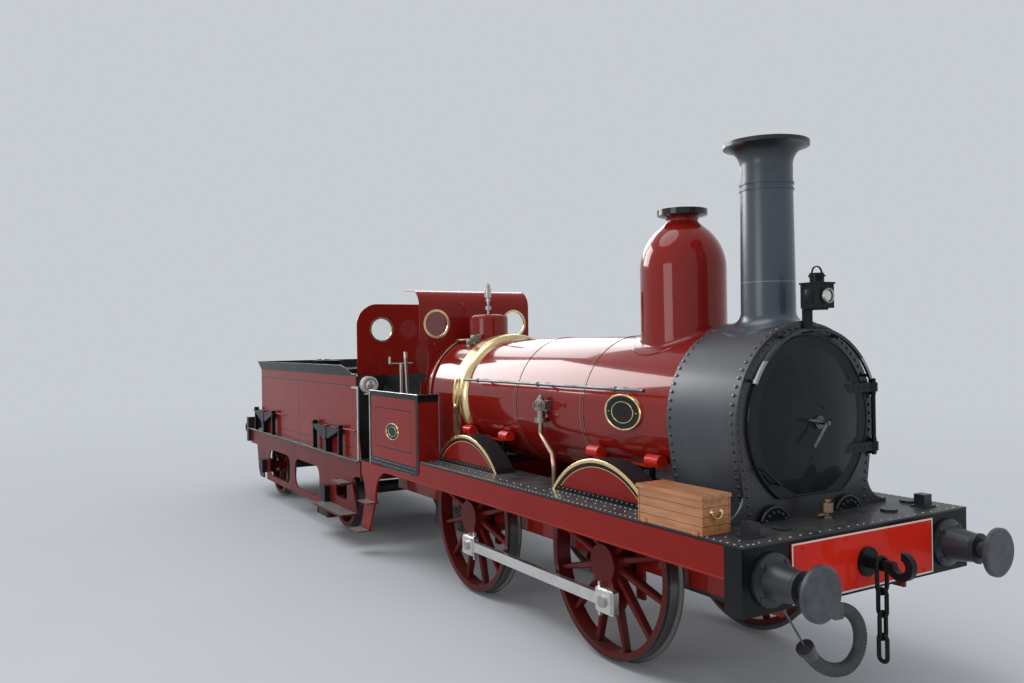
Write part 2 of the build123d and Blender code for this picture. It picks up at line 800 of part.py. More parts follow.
pieces["dome"] = dome.part


# Firebox: a round-topped casing over straight sides, with the firehole in its back
def firebox_line(half, bottom):
    """The firebox outline: a half circle over straight sides down to the bottom."""
    Line((-half, bottom), (-half, boiler_z))
    ThreePointArc((-half, boiler_z), (0, boiler_z + half), (half, boiler_z))
    Line((half, boiler_z), (half, bottom))
    Line((half, bottom), (-half, bottom))


firehole_z = rail + 1500
firehole_width = 420
firehole_height = 300
with BuildPart() as firebox:
    with BuildSketch(facing(backhead_x)):
        with BuildLine():
            firebox_line(firebox_radius, board_z)
        make_face()
    extrude(amount=firebox_length)
    with BuildSketch(facing(backhead_x)):
        with Locations((0, firehole_z)):
            RectangleRounded(firehole_width, firehole_height, 120)
    extrude(amount=260, mode=Mode.SUBTRACT)
pieces["firebox"] = firebox.part

with BuildPart() as brass_band:
    with BuildSketch(facing(firebox_x - brass_width)):
        with BuildLine():
            firebox_line(firebox_radius + 14, board_z)
        make_face()
        with BuildLine():
            firebox_line(firebox_radius, board_z)
        make_face(mode=Mode.SUBTRACT)
    extrude(amount=brass_width)
pieces["brass_band"] = brass_band.part

ashpan_bottom = rail + 420
with BuildPart() as ashpan:
    with Locations(
        ((firebox_x + backhead_x) / 2, 0, (ashpan_bottom + board_z) / 2),
    ):
        Box(firebox_length - 40, 2 * frame_in - 60, board_z - ashpan_bottom)
pieces["ashpan"] = ashpan.part

# Cylinders: one plain heavy casting under the smokebox, between the frames
with BuildPart() as cylinders:
    with Locations((smokebox_x - 380, 0, rail + 880)):
        Box(720, frame_gap, 440)
    for side in (-1, 1):
        with BuildSketch(facing(smokebox_x - 20)):
            with Locations((side * 290, rail + 880)):
                Circle(215)
        extrude(amount=60)
pieces["cylinders"] = cylinders.part

# Cab: a sheet that stands on the firebox and bends back over the crew, with two round windows
cab_sheet_x = backhead_x
bend_radius = 190
roof_end = cab_sheet_x - 410
roof_rise = 14
waist_half = 612
waist_z = rail + 2310
cab_bend_z = rail + cab_bend
with BuildPart() as cab_sheet:
    with BuildSketch(across(cab_half)):
        with BuildLine():
            Line((cab_sheet_x, floor_z), (cab_sheet_x, cab_bend_z))
            ThreePointArc(
                (cab_sheet_x, cab_bend_z),
                (cab_sheet_x - bend_radius * (1 - cos(radians(45))), cab_bend_z + bend_radius * sin(radians(45))),
                (cab_sheet_x - bend_radius, cab_bend_z + bend_radius),
            )
            Polyline(
                (cab_sheet_x - bend_radius, cab_bend_z + bend_radius),
                (roof_end, cab_bend_z + bend_radius + roof_rise),
                (roof_end, cab_bend_z + bend_radius + roof_rise - sheet),
                (cab_sheet_x - bend_radius, cab_bend_z + bend_radius - sheet),
            )
            ThreePointArc(
                (cab_sheet_x - bend_radius, cab_bend_z + bend_radius - sheet),
                (
                    cab_sheet_x - bend_radius + (bend_radius - sheet) * cos(radians(45)),
                    cab_bend_z + (bend_radius - sheet) * sin(radians(45)),
                ),
                (cab_sheet_x - sheet, cab_bend_z),
            )
            Line((cab_sheet_x - sheet, cab_bend_z), (cab_sheet_x - sheet, floor_z))
            Line((cab_sheet_x - sheet, floor_z), (cab_sheet_x, floor_z))
        make_face()
    extrude(amount=2 * cab_half)
    for side in (-1, 1):
        with BuildSketch(facing(cab_sheet_x - bend_radius - sheet)):
            with BuildLine():
                Polyline(
                    (side * (waist_half + 46), rail + 2020),
                    (side * waist_half, waist_z - 110),
                    (side * waist_half, waist_z + 30),
                    (side * (waist_half + 40), waist_z + 130),
                    (side * cab_half, waist_z + 190),
                    (side * (cab_half + 10), waist_z + 190),
                    (side * (cab_half + 10), rail + 2020),
                    close=True,
                )
            make_face()
        extrude(amount=2 * bend_radius, mode=Mode.SUBTRACT)
    with BuildSketch(facing(cab_sheet_x - 2 * sheet)):
        with Locations((-cab_window_side, rail + cab_window_height), (cab_window_side, rail + cab_window_height)):
            Circle(window_radius)
        with BuildLine():
            firebox_line(firebox_radius - 60, floor_z - 10)
        make_face()
    extrude(amount=3 * sheet, mode=Mode.SUBTRACT)
pieces["cab_sheet"] = cab_sheet.part


def window_rims(face, side, height, way):
    """Two brass rims on the face of a sheet at x, round windows at plus and minus side."""
    with BuildPart() as rims:
        with BuildSketch(facing(face)):
            with Locations((-side, height), (side, height)):
                Circle(window_radius + rim_width)
                Circle(window_radius, mode=Mode.SUBTRACT)
        extrude(amount=way * 10)
    return rims.part


def window_glass(x, side, height):
    """Two round panes that fill the windows at plus and minus side."""
    with BuildPart() as glass:
        with BuildSketch(facing(x - sheet)):
            with Locations((-side, height), (side, height)):
                Circle(window_radius)
        extrude(amount=sheet)
    return glass.part


pieces["cab_window_rims"] = window_rims(cab_sheet_x, cab_window_side, rail + cab_window_height, 1)
pieces["cab_window_glass"] = window_glass(cab_sheet_x, cab_window_side, rail + cab_window_height)
pieces["tender_window_rims"] = window_rims(screen_x, screen_window_side, rail + screen_window_height, 1)
pieces["tender_window_glass"] = window_glass(screen_x, screen_window_side, rail + screen_window_height)

# Cab side sheets: low panels outside the valances, each returned to the splasher's face at its front
panel_bottom = rail + 1077
panel_corner = 70
panel_z = rail + panel_top
with BuildPart() as cab_sides:
    with BuildSketch(across(valance_half + sheet)):
        with BuildLine():
            Polyline(
                (panel_x, panel_bottom + panel_corner),
                (panel_x, panel_z),
                (panel_x - cab_panel_length, panel_z),
                (panel_x - cab_panel_length, panel_bottom),
                (panel_x - panel_corner, panel_bottom),
            )
            TangentArc(
                (panel_x - panel_corner, panel_bottom), (panel_x, panel_bottom + panel_corner), tangent=(1, 0)
            )
        make_face()
    extrude(amount=sheet)
    with Locations((panel_x - sheet / 2, (valance_half + sheet + splash_out) / 2, (board_z + panel_z) / 2)):
        Box(sheet, valance_half + sheet - splash_out, panel_z - board_z)
    mirror(about=Plane.XZ)
pieces["cab_sides"] = cab_sides.part

# Toolbox on the running board beside the smokebox, with a hinged lid
box_x = beam_x - 640
box_y = -990
box_size = (620, 230, 230)
lid_thickness = 24
lid_hinge_y = box_y + box_size[1] / 2 + 15
lid_hinge_z = board_z + box_size[2]
hinge_pin = 3
knuckle_radius = 6
knuckle_length = 36
leaf_gauge = 4


box_knuckle_side = 155
lid_knuckle_side = 200


def knuckles(side, leaf_lift):
    """Two hinge knuckles at box_x plus and minus side, their leaves above or below the axis by leaf_lift."""
    with BuildPart() as pair:
        for x in (box_x - side, box_x + side):
            with Locations(Location((x, lid_hinge_y, lid_hinge_z), (0, 90, 0))):
                Cylinder(knuckle_radius, knuckle_length)
            with Locations((x, lid_hinge_y - 10, lid_hinge_z + leaf_lift)):
                Box(knuckle_length, 20, leaf_gauge)
    return pair.part


box_knuckles = knuckles(box_knuckle_side, -3)
lid_knuckles = knuckles(lid_knuckle_side, 3)
with BuildPart() as toolbox:
    with Locations((box_x, box_y, board_z + box_size[2] / 2)):
        Box(*box_size)
    with Locations((box_x, box_y, board_z + box_size[2] / 2 + 15)):
        Box(box_size[0] - 30, box_size[1] - 30, box_size[2], mode=Mode.SUBTRACT)
    add(box_knuckles)
    with Locations(Location((box_x, lid_hinge_y, lid_hinge_z), (0, 90, 0))):
        Cylinder(hinge_pin, 2 * lid_knuckle_side + knuckle_length + 12)
pieces["toolbox"] = toolbox.part
lid_z = board_z + box_size[2] + 0.5
with BuildPart() as toolbox_lid:
    with Locations((box_x, box_y - 5, lid_z + lid_thickness / 2)):
        Box(box_size[0] + 30, box_size[1] + 20, lid_thickness)
    add(lid_knuckles)
    with Locations(Location((box_x, lid_hinge_y, lid_hinge_z), (0, 90, 0))):
        Cylinder(hinge_pin + running_clearance, box_size[0], mode=Mode.SUBTRACT)
pieces["toolbox_lid"] = toolbox_lid.part

# Fire door: a plate hinged at its left on the backhead
fire_hinge_x = backhead_x - 24
fire_hinge_y = 262
with BuildPart() as fire_door:
    with BuildSketch(facing(backhead_x - 22)):
        with Locations((0, firehole_z)):
            RectangleRounded(firehole_width + 60, firehole_height + 60, 140)
    extrude(amount=14)
    for height in (-70, 70):
        with Locations((backhead_x - 27, fire_hinge_y - 60, firehole_z + height)):
            Box(10, 120, 36)
        with Locations((fire_hinge_x, fire_hinge_y, firehole_z + height)):
            Cylinder(14, 36)
            Cylinder(8 + running_clearance, 36, mode=Mode.SUBTRACT)
    with Locations((backhead_x - 34, -170, firehole_z)):
        Box(24, 26, 110)
pieces["fire_door"] = fire_door.part

# Tender frames: outside plates with D-shaped openings, tied by stretchers under the tank
tender_frame_out = tender_frame_half
tender_frame_in = tender_frame_half - tender_frame_thickness
tender_deck_under = tender_floor_z - plate
tender_bar = rail + 300
tender_middle_x = (tender_axle_front_x + tender_axle_rear_x) / 2
tender_step_z = rail + 372
tread_gauge = 26
tender_treads = ((tender_x - 690, 1090, 1260, tender_step_z), (tender_x - 510, 370, 1200, rail + 732))
box_half = 90
with BuildPart() as tender_frames:
    with BuildSketch(across(tender_frame_out)):
        with BuildLine():
            Polyline(
                (tender_x - 285, rail + 692),
                (tender_x - 115, tender_step_z - 20),
                (tender_axle_front_x + 280, tender_step_z - 20),
                (tender_axle_front_x + 175, tender_bar - 30),
                (tender_axle_rear_x - 320, tender_bar - 30),
                (tender_axle_rear_x - 420, tender_bar + 90),
                (tender_end_x + 500, tender_deck_under - 240),
                (tender_end_x + 100, tender_deck_under - 240),
                (tender_end_x + 100, tender_deck_under),
                (tender_x, tender_deck_under),
                (tender_x, rail + 832),
                (tender_x - 155, rail + 822),
            )
            ThreePointArc(
                (tender_x - 155, rail + 822), (tender_x - 255, rail + 782), (tender_x - 285, rail + 692)
            )
        make_face()
        with Locations((tender_axle_front_x + 530, rail + 602)):
            RectangleRounded(420, 240, 60, mode=Mode.SUBTRACT)
        for front, back in (
            (tender_axle_front_x - 355, tender_middle_x + 88),
            (tender_middle_x - 172, tender_axle_rear_x + 250),
        ):
            with Locations(((front + back) / 2, rail + 572)):
                RectangleRounded(front - back, 420, 150, mode=Mode.SUBTRACT)
        for x in (tender_axle_front_x, tender_axle_rear_x):
            with Locations((x, (tender_axle_z + 105) / 2)):
                Rectangle(2 * box_half, tender_axle_z + 105, mode=Mode.SUBTRACT)
    extrude(amount=tender_frame_thickness)
    for middle, length, reach, top in tender_treads:
        with Locations((middle, (tender_frame_in + 5 + reach) / 2, top - tread_gauge / 2)):
            Box(length, reach - tender_frame_in - 5, tread_gauge)
    mirror(about=Plane.XZ)
    for x in (tender_x - 30, tender_middle_x, tender_end_x + 130):
        with Locations((x, 0, tender_deck_under - 120)):
            Box(24, 2 * tender_frame_in, 240)
pieces["tender_frames"] = tender_frames.part

with BuildPart() as tender_axleboxes:
    for x in (tender_axle_front_x, tender_axle_rear_x):
        for side in (-1, 1):
            with Locations((x, side * (tender_frame_out - 20), tender_axle_z)):
                Box(2 * box_half, 190, 210)
        with BuildSketch(across(0)):
            with Locations((x, tender_axle_z)):
                Circle(journal_radius + running_clearance)
        extrude(amount=journal_reach + running_clearance, both=True, mode=Mode.SUBTRACT)
pieces["tender_axleboxes"] = tender_axleboxes.part

with BuildPart() as tender_footplate:
    with BuildSketch(Plane.XY.offset(tender_deck_under)):
        with Locations(((tender_x + tender_end_x + 100) / 2, 0)):
            Rectangle(tender_length - 100, 2 * tender_half)
    extrude(amount=plate)
    with Locations((tender_end_x + 50, 0, beam_middle)):
        Box(100, 2 * tender_half, 2 * beam_half_height)
pieces["tender_footplate"] = tender_footplate.part

# Tank: sides and back hold the water round an open coal space that slopes down to the front
tank_back = tank_x - tank_length
coal_half = 620
coal_floor = rail + 1400
with BuildPart() as tender_tank:
    with Locations((tank_x - tank_length / 2, 0, (tender_floor_z + tank_z) / 2)):
        Box(tank_length, 2 * tank_half, tank_z - tender_floor_z)
    with BuildSketch(across(coal_half)):
        with BuildLine():
            Polyline(
                (tank_x + 10, coal_floor - 250),
                (tank_x + 10, tank_z + 10),
                (tank_x - 3100, tank_z + 10),
                (tank_x - 3100, tank_z - 240),
                (tank_x - 700, coal_floor - 250),
                close=True,
            )
        make_face()
    extrude(amount=2 * coal_half, mode=Mode.SUBTRACT)
    for y in (-tank_half + sheet, tank_half):
        with BuildSketch(across(y)):
            with BuildLine():
                Polyline(
                    (tank_x, tender_floor_z),
                    (tank_x + 150, tender_floor_z),
                    (tank_x + 40, tender_floor_z + 460),
                    (tank_x, tender_floor_z + 520),
                    close=True,
                )
            make_face()
        extrude(amount=sheet)
pieces["tender_tank"] = tender_tank.part

# Tender weatherboard: a screen with rounded corners and two round windows
screen_z = rail + screen_top
screen_half = 890
with BuildPart() as tender_screen:
    with BuildSketch(facing(screen_x - sheet)):
        with Locations((0, (tank_z + screen_z) / 2 - 150)):
            RectangleRounded(2 * screen_half, screen_z - tank_z + 300, 280)
        with Locations((0, tank_z - 300)):
            Rectangle(2 * screen_half + 10, 600, mode=Mode.SUBTRACT)
        for side in (-1, 1):
            with Locations((side * screen_window_side, rail + screen_window_height)):
                Circle(window_radius, mode=Mode.SUBTRACT)
    extrude(amount=sheet)
pieces["tender_screen"] = tender_screen.part


def pipe(points, bend, radius):
    """A round bar or pipe along these points, with this bend radius at its corners."""
    with BuildPart() as bar:
        with BuildLine() as run:
            FilletPolyline(*points, radius=bend)
        with BuildSketch(Plane(origin=run.line @ 0, z_dir=run.line % 0)):
            Circle(radius)
        sweep()
    return bar.part


def chain_link(x, y, z, length, width, turned):
    """A round-bar link with its middle at x, y, z; it lies along the engine, or across it when turned."""
    half = (length - width) / 2
    face = Plane(origin=(x, y, z), x_dir=(1, 0, 0), z_dir=(0, -1, 0))
    if turned:
        face = Plane(origin=(x, y, z), x_dir=(0, 1, 0), z_dir=(1, 0, 0))
    with BuildPart() as link:
        with BuildLine(face) as run:
            Line((-width / 2, -half), (-width / 2, half))
            ThreePointArc((-width / 2, half), (0, half + width / 2), (width / 2, half))
            Line((width / 2, half), (width / 2, -half))
            ThreePointArc((width / 2, -half), (0, -half - width / 2), (-width / 2, -half))
        with BuildSketch(Plane(origin=run.line @ 0, z_dir=run.line % 0)):
            Circle(link_wire)
        sweep()
    return link.part


# Draw gear at each end: a hook through a round plate, with a shackle and three links that hang from its shank
hook_z = rail + 1000
hook_thickness = 50
hook_out = 250
link_wire = 14
link_length = 170
link_width = 62


def draw_gear(face, way):
    """The draw hook and its chain on the beam face at x, forward (1) or backward (-1)."""
    middle = face + way * hook_out
    hang = face + way * 110
    drop = link_length - 2 * link_wire + 4
    shackle_length = 230
    shackle_z = hook_z - shackle_length / 2 + 34 + link_wire
    links = [chain_link(hang, 0, shackle_z, shackle_length, 96, True)]
    link_z = shackle_z - (shackle_length + link_length) / 2 + 2 * link_wire - 2
    for number in range(3):
        links.append(chain_link(hang, 0, link_z - number * drop, link_length, link_width, number % 2 == 1))
    with BuildPart() as gear:
        with BuildSketch(facing(face)):
            with Locations((0, hook_z)):
                Circle(96)
        extrude(amount=way * 18)
        with Locations((face + way * (hook_out - 60) / 2, 0, hook_z)):
            Box(hook_out - 60, hook_thickness, 66)
        with BuildSketch(across(hook_thickness / 2)):
            with Locations((middle, hook_z + 20)):
                Circle(94)
                Circle(44, mode=Mode.SUBTRACT)
            with Locations((middle - way * 40, hook_z + 84)):
                Rectangle(110, 108, mode=Mode.SUBTRACT)
        extrude(amount=hook_thickness)
        add(links)
    return gear.part


pieces["front_coupling"] = draw_gear(beam_x + panel_thickness, 1)
pieces["rear_coupling"] = draw_gear(tender_end_x, -1)

# Brake hose: it comes down from the beam and curls back up to a coupling head that hangs from the beam
hose_x = beam_x + 50
hose_radius = 40
hose_top = (-340, rail + 752)
with BuildPart() as vacuum_hose:
    with BuildLine(facing(hose_x)) as hose_run:
        first = JernArc(start=hose_top, tangent=(1, 0), radius=212, arc_size=-85)
        second = JernArc(start=first @ 1, tangent=first % 1, radius=170, arc_size=-96)
        third = JernArc(start=second @ 1, tangent=second % 1, radius=380, arc_size=-48)
    with BuildSketch(Plane(origin=hose_run.line @ 0, z_dir=hose_run.line % 0)):
        Circle(hose_radius)
    sweep()
pieces["vacuum_hose"] = vacuum_hose.part
hose_end = hose_run.line @ 1
hose_way = hose_run.line % 1
hose_head = hose_end + hose_way * 50
hanger_foot = Vector(beam_x - 30, hose_head.Y - 130, rail + beam_bottom + 6)
hanger = Plane(origin=hanger_foot, z_dir=hose_head - hanger_foot)
hanger_length = (hose_head - hanger_foot).length
with BuildPart() as hose_fittings:
    with BuildSketch(Plane(origin=hose_end, z_dir=hose_way)):
        Circle(hose_radius + 6)
    extrude(amount=70)
    with BuildSketch(Plane(origin=hose_end + hose_way * 70, z_dir=hose_way)):
        Circle(58)
    extrude(amount=26)
    with BuildSketch(hanger):
        Circle(7)
    extrude(amount=hanger_length)
    with Locations((beam_x - 40, hanger_foot.Y, rail + beam_bottom + 50)):
        Box(80, 200, 100, mode=Mode.SUBTRACT)
    with Locations((hose_x - 52, hose_top[0] - 35, rail + beam_bottom - 50)):
        Box(196, 70, 100)
pieces["hose_fittings"] = hose_fittings.part

# Engine springs: leaves, buckle and post over each axlebox, with hangers under round red caps
spring_y = frame_in + 26
spring_z = rail + 1440
spring_span = 750
leaf_thickness = 12
spring_leaves = 6
spring_top = spring_z + spring_leaves * leaf_thickness
cap_radius = 52
with BuildPart() as engine_springs:
    for x in (axle_front_x, axle_rear_x):
        for leaf in range(spring_leaves):
            with Locations((x, spring_y, spring_z + (leaf + 0.5) * leaf_thickness)):
                Box(220 + leaf * (spring_span - 220) / (spring_leaves - 1), 54, leaf_thickness)
        with Locations((x, spring_y, (board_z + spring_top + 14) / 2)):
            Box(70, 54, spring_top + 14 - board_z)
        for end in (-1, 1):
            with Locations((x + end * (spring_span / 2 - 24), spring_y, (board_z + spring_top) / 2)):
                Box(30, 40, spring_top - board_z)
            with BuildSketch(facing(x + end * spring_span / 2 - 75)):
                with Locations((spring_y - 10, spring_top + 36)):
                    Circle(cap_radius)
                with Locations((spring_y - 10, spring_top - 100)):
                    Rectangle(3 * cap_radius, 200, mode=Mode.SUBTRACT)
            extrude(amount=150)
    mirror(about=Plane.XZ)
pieces["engine_springs"] = engine_springs.part

# Safety valve casing: a round casing on the firebox's crown, rounded at its top, with the whistle on it
whistle_x = backhead_x + 300
casing_radius = 225
casing_z = rail + 2772
with BuildPart() as valve_casing:
    with BuildSketch(Plane.XY.offset(boiler_z)):
        with Locations((whistle_x, 0)):
            Circle(casing_radius)
    extrude(amount=casing_z - boiler_z)
    fillet(valve_casing.edges().group_by(Axis.Z)[-1], radius=45)
    with BuildSketch(facing(backhead_x)):
        with Locations((0, boiler_z)):
            Circle(firebox_radius)
    extrude(amount=firebox_length, mode=Mode.SUBTRACT)
pieces["valve_casing"] = valve_casing.part
whistle_steps = (
    (12, 0, 60),
    (36, 60, 100),
    (14, 100, 160),
    (30, 160, 176),
    (16, 176, 200),
    (38, 200, 290),
    (40, 290, 300),
    (30, 300, 345),
    (12, 345, 365),
)
with BuildPart() as whistle:
    for radius, low, high in whistle_steps:
        with BuildSketch(Plane.XY.offset(casing_z + low)):
            with Locations((whistle_x, 0)):
                Circle(radius)
        extrude(amount=high - low)
pieces["whistle"] = whistle.part

# Pipes and valves on the firebox and barrel: ejector pipe, clack valves and their feed pipes
ejector_x = backhead_x + 140
ejector_radius = 12
ejector_run = firebox_radius + ejector_radius
valve_x = ejector_x + 385
valve_y = ejector_run * sin(radians(28))
clack_x = axle_front_x - clack_set
feed_y = 800
with BuildPart() as ejector_pipe:
    with BuildLine(facing(ejector_x)) as ejector_line:
        ThreePointArc(
            (-valve_y, boiler_z + ejector_run * cos(radians(28))),
            (-ejector_run * sin(radians(60)), boiler_z + ejector_run * cos(radians(60))),
            (-ejector_run, boiler_z),
        )
        Line((-ejector_run, boiler_z), (-ejector_run, floor_z))
    with BuildSketch(Plane(origin=ejector_line.line @ 0, z_dir=ejector_line.line % 0)):
        Circle(ejector_radius)
    sweep()
feed_pipe = pipe(
    (
        (clack_x, -boiler_radius - 50, rail + 1764),
        (clack_x, -boiler_radius - 56, rail + 1640),
        (clack_x + 306, -boiler_radius - 131, rail + 1489),
        (clack_x + 405, -feed_y, rail + 1390),
        (clack_x + 405, -feed_y, board_z),
    ),
    60,
    22,
)
with BuildPart() as pipework:
    add(feed_pipe)
    for low, high, radius in ((1740, 1780, 62), (1780, 1860, 36), (1860, 1930, 50), (1930, 1965, 30)):
        with BuildSketch(Plane.XY.offset(rail + low)):
            with Locations((clack_x, -boiler_radius - 50)):
                Circle(radius)
        extrude(amount=high - low)
    with Locations((clack_x + 60, -boiler_radius - 20, rail + 1890)):
        Box(120, 90, 90)
    with BuildSketch(facing(firebox_x)):
        with Locations((0, boiler_z)):
            Circle(boiler_radius)
    extrude(amount=barrel_length, mode=Mode.SUBTRACT)
    mirror(about=Plane.XZ)
    add(ejector_pipe.part)
    for y, size in ((-valve_y, 40), (-valve_y - 57, 34), (-valve_y + 51, 30)):
        with Locations((valve_x, y, boiler_z + sqrt(firebox_radius**2 - y**2) + size)):
            Cylinder(size, 2.6 * size)
    valve_pipe_z = boiler_z + sqrt(firebox_radius**2 - valve_y**2) + 34
    with Locations(Location(((ejector_x + valve_x) / 2, -valve_y, valve_pipe_z), (0, 90, 0))):
        Cylinder(18, valve_x - ejector_x + 20)
    with BuildSketch(facing(backhead_x)):
        with Locations((0, boiler_z)):
            Circle(firebox_radius)
    extrude(amount=firebox_length, mode=Mode.SUBTRACT)
pieces["pipework"] = pipework.part

# Handrails: along the barrel, each on three stanchions, and upright behind the cab's side sheets
rail_y = 700
rail_z = rail + 2080
rail_ends = (smokebox_x - 928, firebox_x + 178)
cab_rail_x = panel_x - cab_panel_length - 26
cab_rail_y = valance_half - 26
cab_rail_top = panel_z - 20
with BuildPart() as boiler_rails:
    with Locations(Location(((rail_ends[0] + rail_ends[1]) / 2, -rail_y, rail_z), (0, 90, 0))):
        Cylinder(14, rail_ends[0] - rail_ends[1])
    for share in (0.12, 0.51, 0.9):
        x = rail_ends[0] - share * (rail_ends[0] - rail_ends[1])
        with Locations(Location((x, -(rail_y + boiler_radius - 60) / 2, rail_z), (90, 0, 0))):
            Cylinder(10, rail_y - boiler_radius + 60)
        with Locations((x, -rail_y, rail_z)):
            Sphere(22)
    with BuildSketch(facing(firebox_x)):
        with Locations((0, boiler_z)):
            Circle(boiler_radius)
    extrude(amount=barrel_length, mode=Mode.SUBTRACT)
    with Locations((cab_rail_x, -cab_rail_y, (floor_z + cab_rail_top) / 2)):
        Cylinder(14, cab_rail_top - floor_z)
    with Locations((cab_rail_x + 13, -cab_rail_y, cab_rail_top - 60)):
        Box(26, 20, 20)
    mirror(about=Plane.XZ)
pieces["engine_rails"] = boiler_rails.part

# Front lamp on its bracket, with a lens, a vented top and a carrying handle
lamp_x = smokebox_x + 95
lamp_low = lamp_foot_z
lamp_width = 155
lamp_height = 165
lens_radius = 50
with BuildPart() as front_lamp:
    with Locations((lamp_x, 0, lamp_low + lamp_height / 2)):
        Box(lamp_width, lamp_width, lamp_height)
    with Locations((lamp_x, 0, lamp_low + lamp_height + 6)):
        Box(lamp_width + 14, lamp_width + 14, 12)
    for radius, low, high in ((48, 12, 52), (58, 52, 62)):
        with BuildSketch(Plane.XY.offset(lamp_low + lamp_height + low)):
            with Locations((lamp_x, 0)):
                Circle(radius)
        extrude(amount=high - low)
    with BuildSketch(facing(lamp_x + lamp_width / 2)):
        with Locations((0, lamp_low + lamp_height / 2)):
            Circle(lens_radius)
    extrude(amount=12)
    with BuildSketch(facing(lamp_x - 5)):
        with Locations((0, lamp_low + lamp_height + 42)):
            SlotOverall(170, 108, rotation=90)
            SlotOverall(154, 92, rotation=90, mode=Mode.SUBTRACT)
        with Locations((0, lamp_low + lamp_height - 5)):
            Rectangle(130, 110, mode=Mode.SUBTRACT)
    extrude(amount=10)
pieces["front_lamp"] = front_lamp.part

# Lubricator in front of the smokebox, low enough for the door's foot to swing over it
with BuildPart() as lubricator:
    for radius, low, high in ((34, 0, 12), (12, 12, 50), (42, 40, 104), (16, 104, 118), (28, 118, 126)):
        with BuildSketch(Plane.XY.offset(board_z + low)):
            with Locations((beam_x - 300, 0)):
                Circle(radius)
        extrude(amount=high - low)
    with Locations(Location((beam_x - 300, -46, board_z + 24), (90, 0, 0))):
        Cylinder(12, 92)
pieces["lubricator"] = lubricator.part

# Drawbar: a bar from the tender with an eye round the engine's drag pin
with BuildPart() as drawbar:
    with BuildSketch(Plane.XY.offset(drag_z - 26)):
        with Locations((pivot_x, 0)):
            Circle(70)
        with Locations(((pivot_x + tender_x - 18) / 2, 0)):
            Rectangle(pivot_x - tender_x + 18, 90)
        with Locations((pivot_x, 0)):
            Circle(pivot_radius + running_clearance, mode=Mode.SUBTRACT)
    extrude(amount=52)
    with Locations((tender_x - 9, 0, drag_z)):
        Box(18, 260, 160)
pieces["tender_drawbar"] = drawbar.part

# Cab fittings: regulator, gauges, pressure dial and the fire door's hinge on the backhead, and the reversing lever
lever_x = backhead_x - 560
lever_y = -640
with BuildPart() as cab_fittings:
    for low in (firehole_z - 70 - 31, firehole_z - 70 + 19, firehole_z + 70 - 31, firehole_z + 70 + 19):
        with Locations((backhead_x - 19, fire_hinge_y, low + 6)):
            Box(38, 26, 12)
    with Locations((fire_hinge_x, fire_hinge_y, firehole_z)):
        Cylinder(8, 210)
    with Locations(Location((backhead_x - 50, 0, boiler_z + 260), (0, 90, 0))):
        Cylinder(46, 100)
    with Locations((backhead_x - 92, -110, boiler_z + 290)):
        Box(16, 300, 34)
    for y in (-280, 280):
        for z in (boiler_z - 10, boiler_z + 210):
            with Locations((backhead_x - 30, y, z)):
                Box(60, 36, 36)
        with Locations((backhead_x - 46, y, boiler_z + 100)):
            Cylinder(12, 220)
    with BuildSketch(facing(backhead_x - 60)):
        with Locations((150, boiler_z + 440)):
            Circle(80)
    extrude(amount=60)
    with Locations((lever_x, lever_y, floor_z + 290)):
        Box(300, 16, 580)
    with BuildSketch(across(lever_y - 8)):
        with Locations((lever_x, floor_z + 250)):
            Circle(420)
            Circle(380, mode=Mode.SUBTRACT)
        with Locations((lever_x, floor_z + 150)):
            Rectangle(900, 900, mode=Mode.SUBTRACT)
    extrude(amount=-16)
    with Locations(Location((lever_x - 20, lever_y + 20, floor_z + 640), (0, -6, 0))):
        Box(44, 24, 1180)
    with Locations(Location((lever_x - 88, lever_y + 20, floor_z + 1250), (0, -6, 0))):
        Cylinder(22, 90)
pieces["cab_fittings"] = cab_fittings.part

# Tender coping: a flared rim round the top of the tank that dips towards the front
coping_rise = 130
coping_flare = 45
coping_sheet = 8
dip_start = tank_x - 415
dip_end = tank_x + 10
with BuildPart() as tender_coping:
    for inset, way in ((0, Mode.ADD), (coping_sheet, Mode.SUBTRACT)):
        front = tank_x + 6 * inset
        with BuildSketch(Plane.XY.offset(tank_z)):
            with Locations(((tank_back + inset + front) / 2, 0)):
                Rectangle(front - tank_back - inset, 2 * (tank_half - inset))
        with BuildSketch(Plane.XY.offset(tank_z + coping_rise)):
            with Locations(((tank_back - coping_flare + inset + front) / 2, 0)):
                Rectangle(front - tank_back + coping_flare - inset, 2 * (tank_half + coping_flare - inset))
        loft(mode=way)
    with BuildSketch(across(2 * tank_half)):
        with BuildLine():
            Polyline(
                (dip_start, tank_z + coping_rise + 20),
                (dip_start, tank_z + coping_rise),
                (dip_start + 120, tank_z + 100),
                (dip_end - 130, tank_z + 24),
                (dip_end, tank_z + 18),
                (dip_end, tank_z + coping_rise + 20),
                close=True,
            )
        make_face()
    extrude(amount=4 * tank_half, mode=Mode.SUBTRACT)
pieces["tender_coping"] = tender_coping.part

